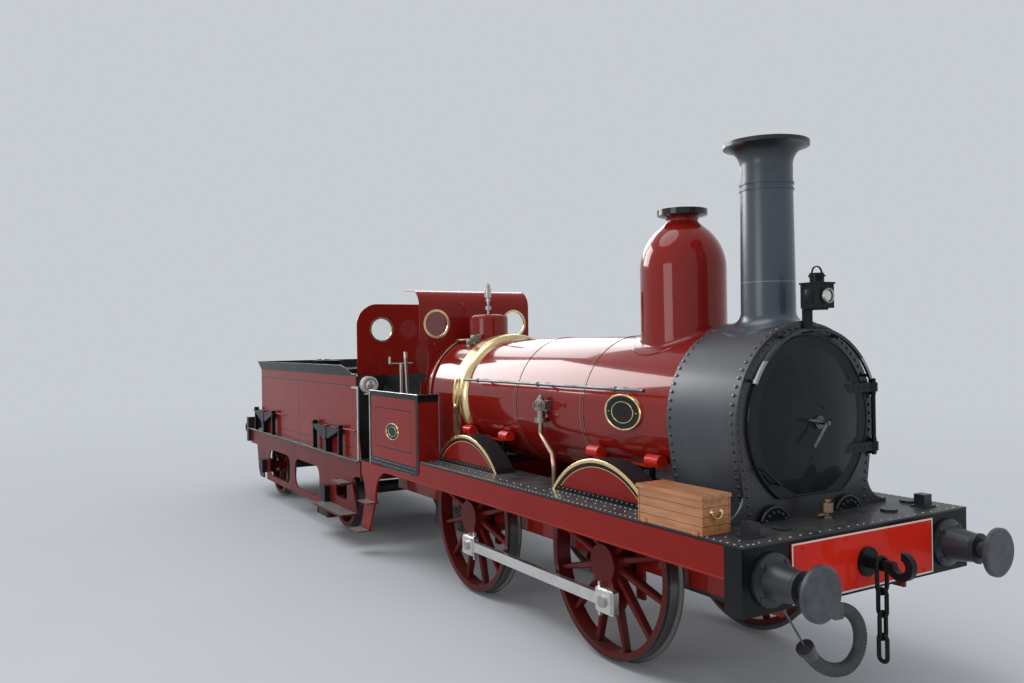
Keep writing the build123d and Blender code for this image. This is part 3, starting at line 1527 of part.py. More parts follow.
# Tender springs stand on the footplate over each axlebox: leaves, buckle and hangers under a long top leaf
tender_spring_y = (tank_half + tender_half) / 2
tender_leaves = 12
tender_leaf = 14
shortest_leaf = 200
longest_leaf = 1190
leaf_step = (longest_leaf - shortest_leaf) / (tender_leaves - 1)
lowest_leaf = tender_floor_z + 170
tender_spring_top = lowest_leaf + tender_leaves * tender_leaf
with BuildPart() as tender_springs:
    for x in (tender_axle_front_x, tender_axle_rear_x):
        for leaf in range(tender_leaves):
            with Locations((x, -tender_spring_y, lowest_leaf + (leaf + 0.5) * tender_leaf)):
                Box(shortest_leaf + leaf * leaf_step, 64, tender_leaf)
        with Locations((x, -tender_spring_y, (tender_floor_z + tender_spring_top + 14) / 2)):
            Box(110, 76, tender_spring_top + 14 - tender_floor_z)
        for end in (-1, 1):
            hanger_x = x + end * (longest_leaf / 2 - 75)
            with Locations((hanger_x, -tender_spring_y, (tender_floor_z + tender_spring_top) / 2)):
                Box(34, 56, tender_spring_top - tender_floor_z)
    mirror(about=Plane.XZ)
pieces["tender_springs"] = tender_springs.part

# Tender front: handrail posts and the hand brake, and a small lamp on a bracket
post_x = tender_x - 52
brake_x = tank_x + 90
brake_y = -430
with BuildPart() as tender_rails:
    with Locations((post_x, -tender_half + 50, (tender_floor_z + rail + 1940) / 2)):
        Cylinder(14, rail + 1940 - tender_floor_z)
    with Locations(((post_x + tank_x) / 2, -tender_half + 50, rail + 1926)):
        Box(post_x - tank_x, 24, 24)
    with Locations((tank_x + 10, -tender_half + 82, rail + 1926)):
        Box(20, 88, 24)
    mirror(about=Plane.XZ)
    with Locations((brake_x, brake_y, tender_floor_z + 20)):
        Box(120, 120, 40)
    for radius, low, high in ((38, 40, 700), (20, 700, 1180)):
        with BuildSketch(Plane.XY.offset(tender_floor_z + low)):
            with Locations((brake_x, brake_y)):
                Circle(radius)
        extrude(amount=high - low)
    with Locations(Location((brake_x, brake_y, tender_floor_z + 1170), (90, 0, 0))):
        Cylinder(13, 320)
    with Locations((brake_x, brake_y - 150, tender_floor_z + 1215)):
        Cylinder(16, 90)
pieces["tender_rails"] = tender_rails.part
small_lamp = (tank_x + 70, -852, rail + 1954)
with BuildPart() as cab_lamp:
    with Locations((tank_x + 55, small_lamp[1], small_lamp[2] - 116)):
        Box(110, 90, 12)
    with BuildSketch(facing(small_lamp[0] - 60)):
        with Locations(small_lamp[1:]):
            Circle(104)
    extrude(amount=100)
    with Locations((small_lamp[0] - 10, small_lamp[1], small_lamp[2] - 104)):
        Box(60, 60, 14)
pieces["tender_lamp"] = cab_lamp.part

# Water filler behind the coal space, with a hinged lid
filler_x = tank_back + 480
filler_rim = tank_z + 120
filler_radius = 230
with BuildPart() as tender_filler:
    with BuildSketch(Plane.XY.offset(tank_z)):
        with Locations((filler_x, 0)):
            Circle(filler_radius)
            Circle(filler_radius - 12, mode=Mode.SUBTRACT)
    extrude(amount=filler_rim - tank_z)
    for y in (-92, 92):
        with Locations((filler_x - filler_radius - 8, y, filler_rim - 16)):
            Box(72, 16, 28)
        with Locations((filler_x - filler_radius - 24, y, filler_rim + 14)):
            Box(28, 16, 36)
    with Locations(Location((filler_x - filler_radius - 24, 0, filler_rim + 14), (90, 0, 0))):
        Cylinder(9, 200)
pieces["tender_filler"] = tender_filler.part
with BuildPart() as tender_filler_lid:
    with BuildSketch(Plane.XY.offset(filler_rim + 0.5)):
        with Locations((filler_x, 0)):
            Circle(filler_radius + 14)
        with Locations((filler_x - filler_radius - 32, 0)):
            Rectangle(80, 2 * filler_radius, mode=Mode.SUBTRACT)
    extrude(amount=14)
    for y in (-50, 50):
        with Locations((filler_x - filler_radius + 60, y, filler_rim + 18)):
            Box(200, 40, 10)
        with Locations(Location((filler_x - filler_radius - 24, y, filler_rim + 14), (90, 0, 0))):
            Cylinder(20, 40)
            Cylinder(9 + running_clearance, 40, mode=Mode.SUBTRACT)
pieces["tender_filler_lid"] = tender_filler_lid.part

os.makedirs("parts", exist_ok=True)
for label, piece in pieces.items():
    piece.label = label
    export_step(piece, f"parts/{label}.step")
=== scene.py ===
# %% [markdown]
# A small steam locomotive of the 1860s, dressed in its paint and fittings. The solid shapes come from the
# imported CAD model, which is a fixed frame: nothing in it is moved. What is added here is what a painter, a
# riveter and a fitter would add: paint with its gloss and dust, rivet rows, beading, thin lining, small
# handles and studs. Everything is in metres, X forward along the boiler, Y to the engine's left, Z up from
# the foot of the wheels.

# %% Load the frame and measure it
import json
import math

import bmesh
import bpy
from mathutils import Matrix, Vector


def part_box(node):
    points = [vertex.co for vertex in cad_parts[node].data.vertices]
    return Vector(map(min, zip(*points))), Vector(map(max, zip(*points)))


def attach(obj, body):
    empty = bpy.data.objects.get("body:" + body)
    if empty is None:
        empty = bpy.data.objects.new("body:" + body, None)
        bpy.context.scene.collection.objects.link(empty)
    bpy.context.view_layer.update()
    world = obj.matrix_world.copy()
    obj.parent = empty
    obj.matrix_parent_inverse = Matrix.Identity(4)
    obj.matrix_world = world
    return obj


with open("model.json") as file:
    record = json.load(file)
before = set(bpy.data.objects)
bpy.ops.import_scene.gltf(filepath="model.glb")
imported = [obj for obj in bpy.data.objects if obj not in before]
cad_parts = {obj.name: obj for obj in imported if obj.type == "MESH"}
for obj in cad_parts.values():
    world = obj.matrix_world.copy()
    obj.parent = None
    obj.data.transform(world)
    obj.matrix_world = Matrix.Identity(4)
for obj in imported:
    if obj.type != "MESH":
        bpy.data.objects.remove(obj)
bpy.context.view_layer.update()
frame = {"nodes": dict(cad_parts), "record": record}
nodes = frame["nodes"]
low_of = {name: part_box(name)[0] for name in nodes}
high_of = {name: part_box(name)[1] for name in nodes}


def rounded(values):
    return [round(value, 3) for value in values]


# %% [markdown]
# The camera stands as it did for the photograph: ahead of the engine, to its right, at about the height of
# the boiler. Its three directions are worked out from a heading and a small roll, and its lens from how
# wide the picture is, so the rendered engine can be laid over the photograph.

# %% Camera
HEADING, ROLL, RISE, LENS = math.radians(30.636), math.radians(-0.889), 0.001, 30.6
CAMERA_PLACE = (9.590, -4.854, 2.490)
forward = Vector((-math.cos(HEADING), math.sin(HEADING), RISE))
level = Vector((math.sin(HEADING), math.cos(HEADING), 0))
right = level * math.cos(ROLL) + Vector((0, 0, 1)) * math.sin(ROLL)
upward = Vector((0, 0, 1)) * math.cos(ROLL) - level * math.sin(ROLL)
camera = bpy.data.objects.new("camera", bpy.data.cameras.new("camera"))
camera.data.lens = LENS
camera.data.sensor_width = 36
camera.data.sensor_fit = "HORIZONTAL"
camera.data.clip_end = 300
turned_to = Matrix((right, upward, -forward)).transposed().to_4x4()
camera.matrix_world = Matrix.Translation(CAMERA_PLACE) @ turned_to
bpy.context.scene.collection.objects.link(camera)
bpy.context.scene.camera = camera
bpy.context.scene.view_settings.view_transform = "Standard"
print("camera at", rounded(camera.location))

# %% [markdown]
# A material is a small network of nodes. Writing the sums of such a network as ordinary Python keeps them
# short: a Wire stands for one output of a node, and adding or multiplying two wires adds the Math node
# that does it. A Finish is one material being mixed. It holds a colour, a roughness and a metallic value,
# layers of other finishes are laid over them where a mask is 1, and seal() joins the result to the shader.

# %% Shader helpers
def summing(operation, swapped=False):
    """A method of Wire that adds one Math node."""

    def method(self, *others):
        values = (*others, self) if swapped else (self, *others)
        return self.finish.node("ShaderNodeMath", {"operation": operation}, dict(enumerate(values)))

    return method


class Wire:
    """One output of a node, so that sums on it add Math nodes."""

    def __init__(self, finish, socket):
        self.finish, self.socket = finish, socket

    __add__ = __radd__ = summing("ADD")
    __sub__ = summing("SUBTRACT")
    __rsub__ = summing("SUBTRACT", swapped=True)
    __mul__ = __rmul__ = summing("MULTIPLY")
    __gt__ = summing("GREATER_THAN")
    __lt__ = summing("LESS_THAN")
    __abs__ = summing("ABSOLUTE")
    power = summing("POWER")
    either = summing("MAXIMUM")
    modulo = summing("MODULO")


class Finish:
    """A material that is being mixed."""

    def __init__(self, name, **shader):
        self.material = bpy.data.materials.new(name)
        self.material.use_nodes = True
        self.tree = self.material.node_tree
        self.shader = self.tree.nodes["Principled BSDF"]
        self.cached = {}
        self.shade, self.matt, self.metallic = (0.8, 0.8, 0.8), 0.5, 0.0
        for socket, value in shader.items():
            self.plug(self.shader.inputs[socket.replace("_", " ")], value)

    def plug(self, socket, value):
        if isinstance(value, Wire):
            self.tree.links.new(value.socket, socket)
        elif isinstance(value, tuple) and len(value) == 3 and socket.type == "RGBA":
            socket.default_value = (*value, 1)
        else:
            socket.default_value = value

    def node(self, kind, settings, sockets, out=0):
        made = self.tree.nodes.new(kind)
        for key, value in settings.items():
            if key == "stops":
                for place, colour in value[2:]:
                    made.color_ramp.elements.new(place)
                for element, (place, colour) in zip(made.color_ramp.elements, value):
                    element.position, element.color = place, colour
            else:
                setattr(made, key, value)
        for key, value in sockets.items():
            self.plug(made.inputs[key], value)
        return Wire(self, made.outputs[out])

    def kept(self, key, kind, sockets, out):
        """A node that is made once and then used again."""
        if key not in self.cached:
            self.cached[key] = self.node(kind, {}, sockets, out)
        return self.cached[key]

    def place(self):
        """Where a point is on the object, which stays put when its body moves."""
        return self.kept("place", "ShaderNodeTexCoord", {}, "Object")

    def axis(self, letter):
        return self.kept(letter, "ShaderNodeSeparateXYZ", {0: self.place()}, "XYZ".index(letter))

    def facing(self, letter):
        """How far a surface faces along an axis, from -1 to 1."""
        normal = self.kept("normal", "ShaderNodeTexCoord", {}, "Normal")
        return self.kept("facing" + letter, "ShaderNodeSeparateXYZ", {0: normal}, "XYZ".index(letter))

    def within(self, letter, low, high):
        """1 where the place along an axis lies between two values."""
        return (self.axis(letter) > low) * (self.axis(letter) < high)

    def reach(self, first, second, middle):
        """How far a place is from a middle point, across two axes."""
        a, b = self.axis(first) - middle[0], self.axis(second) - middle[1]
        return (a * a + b * b).power(0.5)

    def panel(self, axes, low, high, inset):
        """1 inside a rectangle across two axes, set in from its edges."""
        along = self.within(axes[0], low[0] + inset, high[0] - inset)
        return along * self.within(axes[1], low[1] + inset, high[1] - inset)

    def lines(self, axes, low, high, where, *lines):
        """Paints lines that run inside a rectangle; each is an inset, a width, a colour and a roughness."""
        for inset, width, shade, matt in lines:
            line = self.panel(axes, low, high, inset) - self.panel(axes, low, high, inset + width)
            self.layer(line * where, shade, matt)

    def noise(self, scale, detail=3.0, rough=0.55, stretch=None):
        where = self.place()
        if stretch:
            where = self.node("ShaderNodeMapping", {}, {"Vector": where, "Scale": stretch})
        settings = {"Vector": where, "Scale": scale, "Detail": detail, "Roughness": rough}
        return self.node("ShaderNodeTexNoise", {}, settings)

    def ramp(self, wire, *stops):
        grey = [(place, (v, v, v, 1)) for place, v in stops]
        return self.node("ShaderNodeValToRGB", {"stops": grey}, {"Fac": wire})

    def mix(self, share, one, other):
        return self.node("ShaderNodeMix", {"data_type": "RGBA"}, {0: share, 6: one, 7: other}, 2)

    def layer(self, mask, shade, matt, metallic=0.0):
        """Lays another colour, roughness and metallic value over this one where the mask is 1."""
        bare = 1 - mask
        self.shade = self.mix(mask, self.shade, shade)
        self.matt = bare * self.matt + mask * matt
        if metallic or isinstance(self.metallic, Wire):
            self.metallic = bare * self.metallic + mask * metallic
        return self

    def bump(self, height, distance, strength):
        settings = {"Strength": strength, "Distance": distance, "Height": height}
        self.plug(self.shader.inputs["Normal"], self.node("ShaderNodeBump", {}, settings))

    def seal(self):
        self.plug(self.shader.inputs["Base Color"], self.shade)
        self.plug(self.shader.inputs["Roughness"], self.matt)
        self.plug(self.shader.inputs["Metallic"], self.metallic)
        return self


# %% [markdown]
# The world is one pale colour to the camera, to gloss and to glass, and lights the paint with a plain even
# light. The lamps are those of a bright cloudy day: a very broad sun gives soft shadows, and two large
# cards that light nothing are only seen in gloss, where they lay the long highlights along the boiler. A
# weak lamp stands beside the camera.

# %% World and lamps
PALE = (0.58, 0.61, 0.64)


def studio():
    world = bpy.data.worlds.new("studio")
    world.use_nodes = True
    bpy.context.scene.world = world
    tree = world.node_tree
    tree.nodes.clear()

    def add(kind, *values):
        """A node with these numbers, colours or outputs on its inputs; a Math node adds."""
        made = tree.nodes.new("ShaderNode" + kind)
        for socket, value in zip(made.inputs, values):
            if isinstance(value, bpy.types.NodeSocket):
                tree.links.new(value, socket)
            else:
                socket.default_value = value
        return made

    path = add("LightPath").outputs
    seen = add("Math", path["Is Camera Ray"], path["Is Glossy Ray"])
    either = add("Math", seen.outputs[0], path["Is Transmission Ray"])
    either.use_clamp = True
    light = add("Background", (0.95, 0.97, 1, 1), 0.72)
    shown = add("Background", (*PALE, 1))
    add("OutputWorld", add("MixShader", either.outputs[0], light.outputs[0], shown.outputs[0]).outputs[0])


def lamp(name, kind, place, way):
    """A lamp that stands at a place and shines one way."""
    made = bpy.data.objects.new(name, bpy.data.lights.new(name, kind))
    made.matrix_world = Matrix.Translation(place) @ Vector(way).to_track_quat("-Z", "Y").to_matrix().to_4x4()
    bpy.context.scene.collection.objects.link(made)
    return made


def softbox(name, place, aim, size, watts, tint=(1, 1, 1), lights=True):
    """A soft lamp; one that lights nothing is only seen in gloss, as a pale card is."""
    box = lamp(name, "AREA", place, Vector(aim) - Vector(place))
    box.visible_camera = False
    box.visible_diffuse = lights
    box.data.shape = "RECTANGLE"
    box.data.size, box.data.size_y = size
    box.data.energy = watts
    box.data.color = tint


studio()
sun = lamp("cloudy_daylight", "SUN", (0, 0, 0), (0.30, 0.42, -1))
sun.data.energy = 1.1
sun.data.angle = math.radians(40)
softbox("bright_sky_behind", (-14, 5, 11.2), (3, 0, 2), (12, 8), 1150, lights=False)
softbox("bright_sky_beside", (-13, -6.8, 9.5), (3, 0, 2), (9, 8), 1800, lights=False)
softbox("beside_camera", (6, -14, 4), (1, 0, 1.5), (6, 4), 260, (1, 0.97, 0.93))
print("studio lit")

# %% [markdown]
# The floor takes the object's shadow near it. Far off it blends into a glow of the world's pale colour,
# for the camera and for gloss, so that no edge shows between floor and sky.

# %% Floor
FLOOR_RADIUS, FLOOR_GAP = 140, 0.002


def pale_floor():
    f = Finish("pale_floor", Specular_IOR_Level=0.0)
    f.shade = f.mix(f.noise(0.6), (0.53, 0.55, 0.58), (0.56, 0.58, 0.61))
    f.matt = 0.9
    f.seal()
    path = f.node("ShaderNodeLightPath", {}, {}, "Is Camera Ray")
    mirror = f.node("ShaderNodeLightPath", {}, {}, "Is Glossy Ray")
    far = f.ramp(f.reach("X", "Y", (0, 0)) * 0.02, (0.16, 0), (0.5, 1)) * path.either(mirror)
    glow = f.node("ShaderNodeEmission", {}, {"Color": PALE, "Strength": 1.0})
    blend = f.node("ShaderNodeMixShader", {}, {0: far, 1: Wire(f, f.shader.outputs[0]), 2: glow})
    f.plug(f.tree.nodes["Material Output"].inputs["Surface"], blend)
    return f


floor_mesh = bmesh.new()
bmesh.ops.create_circle(floor_mesh, cap_ends=True, segments=96, radius=FLOOR_RADIUS)
floor_data = bpy.data.meshes.new("floor")
floor_mesh.to_mesh(floor_data)
floor_mesh.free()
floor = bpy.data.objects.new("floor", floor_data)
floor.location.z = -FLOOR_GAP
bpy.context.scene.collection.objects.link(floor)
floor_data.materials.append(pale_floor().material)
print("floor laid")

# %% [markdown]
# Coach paint is a coloured coat under varnish. The colour comes from the base, the sharp reflections from
# the clear coat over it. Real panels are never quite flat or clean, so a slow noise bends the reflections
# a little, a fine one varies the colour, dust lies on what faces up, and road grime darkens what is low
# down. Two of these layers also paint light. On the smokebox the dust is raised so that it paints a
# highlight of the sky's sheen on the top. On the wheels the grime reaches high and paints the shade of the
# running board over them.

# %% Paint
DUST_AND_SHEEN, GRIME_AND_SHADE = (0.17, 0.15, 0.13), (0.035, 0.028, 0.024)
CRIMSON, DEEP_CRIMSON = (0.250, 0.0130, 0.0090), (0.195, 0.0095, 0.0070)
BRIGHT_RED, DEEP_RED = (0.66, 0.022, 0.010), (0.52, 0.014, 0.007)
BLACK, DEEP_BLACK = (0.008, 0.009, 0.011), (0.005, 0.0055, 0.0065)
IRON_BLUE, DEEP_BLUE = (0.030, 0.035, 0.042), (0.020, 0.023, 0.028)
LAMP_WHITE, DULL_WHITE = (0.66, 0.66, 0.62), (0.55, 0.55, 0.52)
CREAM, GOLD, LINE_RED = (0.34, 0.22, 0.15), (0.60, 0.44, 0.20), (0.34, 0.035, 0.022)
WORN_TREAD = (0.17, 0.175, 0.18)


def paint(name, colour, deep, gloss=0.2, varnish=0.5, wave=0.002, grime_and_shade_top=1.05, dust_and_sheen=0.10, sheen=0.06,
          haze=0.04):
    """Paint with a darker tone in patches; the grime's top is the height that the road's grime reaches.
    On the wheels it is set high, so that there it paints the shade of the running board over them.
    """
    f = Finish(name, Coat_Roughness=haze, Coat_IOR=1.4, Specular_IOR_Level=sheen, Coat_Weight=varnish)
    shade = f.mix(f.noise(1.6, 2.0), deep, colour)
    dust_and_sheen_patches = f.ramp(f.noise(6.0, 5.0), (0.35, 0), (0.75, 1))
    # Dust on what faces up; on the smokebox its raised share also paints the highlight of the sky's sheen on
    # the top.
    settled_dust_and_sheen = f.ramp(f.facing("Z"), (0.6, 0), (1.0, 1)) * dust_and_sheen_patches * dust_and_sheen
    # Grime low down; on the wheels it is set to reach high, and there it is painted shade of the running
    # board.
    grime_and_shade_patches = f.ramp(f.noise(5.0, 6.0, 0.65), (0.38, 0), (0.72, 1))
    low = f.ramp(f.axis("Z"), (0.15, 1), (grime_and_shade_top, 0)) * grime_and_shade_patches
    f.shade = f.mix(low * 0.7, f.mix(settled_dust_and_sheen, shade, DUST_AND_SHEEN), GRIME_AND_SHADE)
    f.matt = f.noise(2.4, 2.0) * 0.1 + settled_dust_and_sheen * 0.8 + low * 0.3 + gloss
    f.bump(f.noise(3.0, 1.0), wave, 0.6)
    return f


crimson = paint("crimson_coach_paint", CRIMSON, DEEP_CRIMSON).seal()
black = paint("black_coach_paint", BLACK, DEEP_BLACK, gloss=0.3, varnish=0.15, sheen=0.12).seal()
signal = paint("bright_red_paint", BRIGHT_RED, DEEP_RED, 0.3, 0.25, grime_and_shade_top=0.3).seal()
smoke = paint("smokebox_paint", IRON_BLUE, DEEP_BLUE, gloss=0.36, varnish=0.10, dust_and_sheen=0.25, sheen=0.5).seal()
white = paint("white_lamp_paint", LAMP_WHITE, DULL_WHITE, 0.35, 0.3, grime_and_shade_top=0.3).seal()
print("paint mixed")


# %% [markdown]
# Bare metals differ by colour and by how they are worked. Rods are draw-filed bright, brass is polished
# but dulls in patches, iron castings are dark and coarse. The same recipe serves them all with other
# numbers.

# %% Metal finishes
COPPER, DULL_COPPER = (0.36, 0.22, 0.17), (0.15, 0.10, 0.08)


def metal(name, colour, dull, gloss, patch=6.0, grain=0.0008, stretch=None):
    f = Finish(name, Metallic=1.0)
    stain = f.ramp(f.noise(patch, 6.0, 0.6), (0.42, 0), (0.7, 1))
    fine = f.noise(60.0, 2.0, 0.5, stretch)
    f.shade = f.mix(stain * 0.7, colour, dull)
    f.matt = fine * 0.16 + stain * 0.22 + gloss
    f.metallic = 1.0
    f.bump(fine, grain, 0.4)
    return f


steel = metal("bright_steel", (0.60, 0.58, 0.56), (0.34, 0.31, 0.28), 0.2, stretch=(0.15, 1, 1)).seal()
dark_steel = metal("dark_steel", (0.16, 0.16, 0.17), (0.08, 0.075, 0.07), 0.3).seal()
brass = metal("polished_brass", (0.80, 0.62, 0.33), (0.46, 0.33, 0.16), 0.14).seal()
copper = metal("dull_copper", COPPER, DULL_COPPER, 0.3).seal()
iron = metal("cast_iron", (0.07, 0.07, 0.073), (0.035, 0.033, 0.03), 0.45, grain=0.002).seal()
print("metals mixed")


# %% [markdown]
# Three finishes are one of a kind: varnished boards for the toolbox, grey rubber for the brake hose and
# thin glass for the round windows. Wood grain is a noise drawn out along the board, with dark gaps between
# boards.

# %% Wood, rubber and glass
PLANK_FOOT, PLANK, PLANK_GAP, LID_FOOT = 1.261, 0.058, 0.0035, 1.49


def boards():
    f = Finish("varnished_boards", Coat_Roughness=0.12, Coat_Weight=0.4)
    grain = f.noise(26.0, 6.0, 0.6, (0.12, 1, 1))
    streak = f.noise(7.0, 3.0, 0.5, (0.3, 1, 2))
    up = f.axis("Z") - PLANK_FOOT
    gap = (up.modulo(PLANK) < PLANK_GAP) * (abs(f.facing("Z")) < 0.5) * (f.axis("Z") < LID_FOOT)
    wood = f.mix(f.ramp(grain, (0.3, 0), (0.75, 1)), (0.30, 0.105, 0.035), (0.62, 0.27, 0.105))
    wood = f.mix(streak * 0.45, wood, (0.36, 0.13, 0.045))
    f.shade = f.mix(gap, wood, (0.05, 0.018, 0.008))
    f.matt = grain * 0.2 + 0.3
    f.bump(grain * 0.4 - gap, 0.0015, 0.6)
    return f


def hose_rubber():
    f = Finish("grey_rubber")
    worn = f.noise(40.0, 5.0)
    f.shade = f.mix(worn, (0.028, 0.029, 0.031), (0.085, 0.087, 0.09))
    f.matt = worn * 0.25 + 0.45
    f.bump(worn, 0.0008, 0.5)
    return f


def window_glass():
    f = Finish("window_glass", Transmission_Weight=1.0, IOR=1.45)
    smear = f.noise(11.0, 4.0)
    f.shade = f.mix(smear, (0.93, 0.96, 0.95), (0.98, 0.99, 0.99))
    f.matt = f.ramp(smear, (0.45, 0.02), (0.8, 0.12))
    return f


wood, rubber, glass = boards().seal(), hose_rubber().seal(), window_glass().seal()
print("wood, rubber and glass mixed")

# %% [markdown]
# Much of the engine's look is thin painted line. A line is too thin to model, so each lined node gets its
# own paint with masks on Object coordinates: a rectangle inside a panel's edges, a ring round an axle, a
# band at one place along the boiler. The places come from the nodes' own boxes.

# %% Lined paint for the tank, the cab panels and the frames
BOILER_Z = (low_of["barrel"].z + high_of["barrel"].z) / 2
BEAM_X = high_of["front_beam"].x
BOARD_Z = low_of["toolbox"].z
TANK_FRONT = high_of["tender_tank"].x - 0.15
TANK_JOINT = low_of["tender_tank"].x + 2.084


def corners(node, first="x", second="z"):
    low, high = low_of[node], high_of[node]
    return (getattr(low, first), getattr(low, second)), (getattr(high, first), getattr(high, second))


def middle_of(node, first="x", second="z"):
    low, high = corners(node, first, second)
    return (low[0] + high[0]) / 2, (low[1] + high[1]) / 2


def tank_paint():
    f = paint("tank_paint", CRIMSON, DEEP_CRIMSON, gloss=0.24, varnish=0.3)
    low, high = corners("tender_tank")
    side = abs(f.facing("Y")) > 0.7
    f.lines("XZ", low, (TANK_FRONT, high[1]), side, (0.115, 0.014, BLACK, 0.3), (0.135, 0.004, LINE_RED, 0.4))
    f.layer(f.within("X", TANK_JOINT - 0.004, TANK_JOINT + 0.004) * side, DEEP_BLACK, 0.5)
    f.lines("YZ", *corners("tender_tank", "y"), f.facing("X") < -0.7, (0.1, 0.014, BLACK, 0.3))
    sooty = f.ramp(f.noise(7.0, 5.0), (0.3, 0.75), (0.7, 1))
    f.layer((f.facing("Z") > 0.9) * sooty, (0.020, 0.019, 0.020), 0.55)
    # The inside of the coal space and the tank's front are painted near-black: painted shade in the recess.
    hollow = (abs(f.axis("Y")) < 0.625) * (f.facing("Z") < 0.98)
    painted_shade_inside = (f.axis("X") > TANK_FRONT - 0.002).either(hollow)
    return f.layer(painted_shade_inside * (f.facing("X") > -0.7) * (abs(f.axis("Y")) < 0.99), (0.02, 0.019, 0.019), 0.5)


def cab_panel_paint():
    f = paint("cab_panel_paint", CRIMSON, DEEP_CRIMSON, gloss=0.22, varnish=0.25)
    low, high = corners("cab_sides")
    side = abs(f.facing("Y")) > 0.7
    edge = 1 - f.within("X", low[0] + 0.045, high[0] - 0.06) * f.within("Z", low[1] + 0.09, high[1] - 0.05)
    f.layer(edge * side, BLACK, 0.3)
    f.lines("XZ", (low[0] + 0.04, low[1] + 0.10), (high[0] - 0.05, high[1] - 0.05), side,
            (0.12, 0.013, BLACK, 0.3), (0.137, 0.004, LINE_RED, 0.4))
    return f.layer((f.facing("X") > 0.7) * (f.axis("Z") > high[1] - 0.07), BLACK, 0.3)


def splasher_paint():
    f = paint("splasher_paint", CRIMSON, DEEP_CRIMSON, gloss=0.22, varnish=0.25)
    face = abs(f.facing("Y")) > 0.8
    for wheels in ("front_wheels", "rear_wheels"):
        x, z = middle_of(wheels)
        away = f.reach("X", "Z", (x, z))
        near = f.within("X", x - 0.9, x + 0.9)
        f.layer((away > 0.750) * (away < 0.772) * face * near, BLACK, 0.3)
        f.layer((away > 0.742) * (away < 0.747) * face * near, GOLD, 0.35)
    f.layer(1 - face, (0.016, 0.017, 0.019), 0.5)
    return f.layer(f.within("Z", BOARD_Z - 0.01, BOARD_Z + 0.042), BLACK, 0.35)


def valance_paint():
    f = paint("valance_paint", CRIMSON, DEEP_CRIMSON, gloss=0.22, varnish=0.2)
    face = abs(f.facing("Y")) > 0.7
    ahead = f.axis("X") > low_of["cab_sides"].x + 0.4
    f.layer((f.axis("Z") > high_of["valances"].z - 0.010) * face, BLACK, 0.3)
    f.layer(f.within("Z", 1.040, 1.046) * face * ahead, LINE_RED, 0.4)
    treads = f.within("Z", 0.27, 0.30).either(f.within("Z", 0.64, 0.67))
    return f.layer((f.facing("Z") > 0.7) * treads, WORN_TREAD, 0.45)


def frame_paint():
    f = paint("tender_frame_paint", (0.17, 0.010, 0.0075), (0.125, 0.0075, 0.006), 0.26, 0.15, grime_and_shade_top=1.2)
    treads = (f.facing("Z") > 0.7) * (abs(f.axis("Y")) > 1.052)
    return f.layer(treads, WORN_TREAD, 0.45)


lined = {"tender_tank": tank_paint(), "cab_sides": cab_panel_paint(), "splashers": splasher_paint(),
         "valances": valance_paint(), "tender_frames": frame_paint()}
print("lined paint mixed; boiler centre", round(BOILER_Z, 3), "board", round(BOARD_Z, 3))

# %% [markdown]
# The boiler is lagged with sheets held by bands, with a thin pale line beside each dark joint. The dome
# and the valve casing are painted to match. The chimney and the smokebox are a blue-black that heat has
# dulled.

# %% Paint for the boiler, the dome, the chimney and the smokebox
BANDS = (0.353, 0.682)


def boiler_paint(name, joints):
    f = paint(name, CRIMSON, DEEP_CRIMSON, gloss=0.12, varnish=0.8, wave=0.003, grime_and_shade_top=1.0, dust_and_sheen=0.05)
    for x in joints:
        away = abs(f.axis("X") - x)
        f.layer(away < 0.0055, DEEP_BLACK, 0.4)
        f.layer((away > 0.017) * (away < 0.021), CREAM, 0.4)
    return f


def barrel_joints():
    low, high = low_of["barrel"].x, high_of["barrel"].x
    return [high - share * (high - low) for share in BANDS]


def dome_paint():
    f = paint("dome_paint", CRIMSON, DEEP_CRIMSON, gloss=0.12, varnish=0.8, wave=0.003, dust_and_sheen=0.05)
    f.layer(f.axis("Z") > high_of["dome"].z - 0.062, (0.02, 0.018, 0.018), 0.4)
    away = f.reach("X", "Y", (middle_of("dome")[0], 0))
    return f.layer((away > 0.398) * (away < 0.404), DEEP_BLACK, 0.4)


def chimney_paint():
    f = paint("chimney_paint", (0.046, 0.064, 0.082), (0.034, 0.048, 0.062), 0.3, 0.5, dust_and_sheen=0.1, sheen=0.4,
              haze=0.2)
    top = high_of["chimney"].z
    # The cap is painted near-black from 0.16 m below its top, fully so in its top 6 cm: painted shade under
    # the lip, with soot.
    f.layer(f.ramp(f.axis("Z") - (top - 0.16), (0.0, 0), (0.10, 0.95)), (0.006, 0.007, 0.009), 0.45)
    f.layer(f.within("Z", top - 1.019, top - 1.013), (0.16, 0.18, 0.19), 0.4)
    patches = f.ramp(f.noise(4.0, 4.0), (0.3, 0), (0.7, 1))
    soot = f.ramp(f.axis("Z") - (top - 0.35), (0.0, 0), (0.35, 1)) * patches
    return f.layer(soot * 0.8, (0.008, 0.008, 0.009), 0.6)


def smokebox_paint():
    # The dust on the wrapper's upward faces is raised to 0.2: besides dust, it paints a highlight of the
    # sky's sheen on the smokebox top.
    f = paint("smokebox_wrapper_paint", (0.033, 0.040, 0.050), (0.022, 0.027, 0.034), 0.34, 0.5, dust_and_sheen=0.2,
              sheen=0.5, haze=0.24)
    streaks = f.noise(5.0, 4.0, 0.6, (1, 1, 0.25))
    f.layer(f.ramp(streaks, (0.5, 0), (0.8, 0.35)), (0.075, 0.083, 0.094), 0.5)
    return f.layer(f.axis("X") > high_of["smokebox"].x - 0.0165, (0.014, 0.016, 0.019), 0.42)


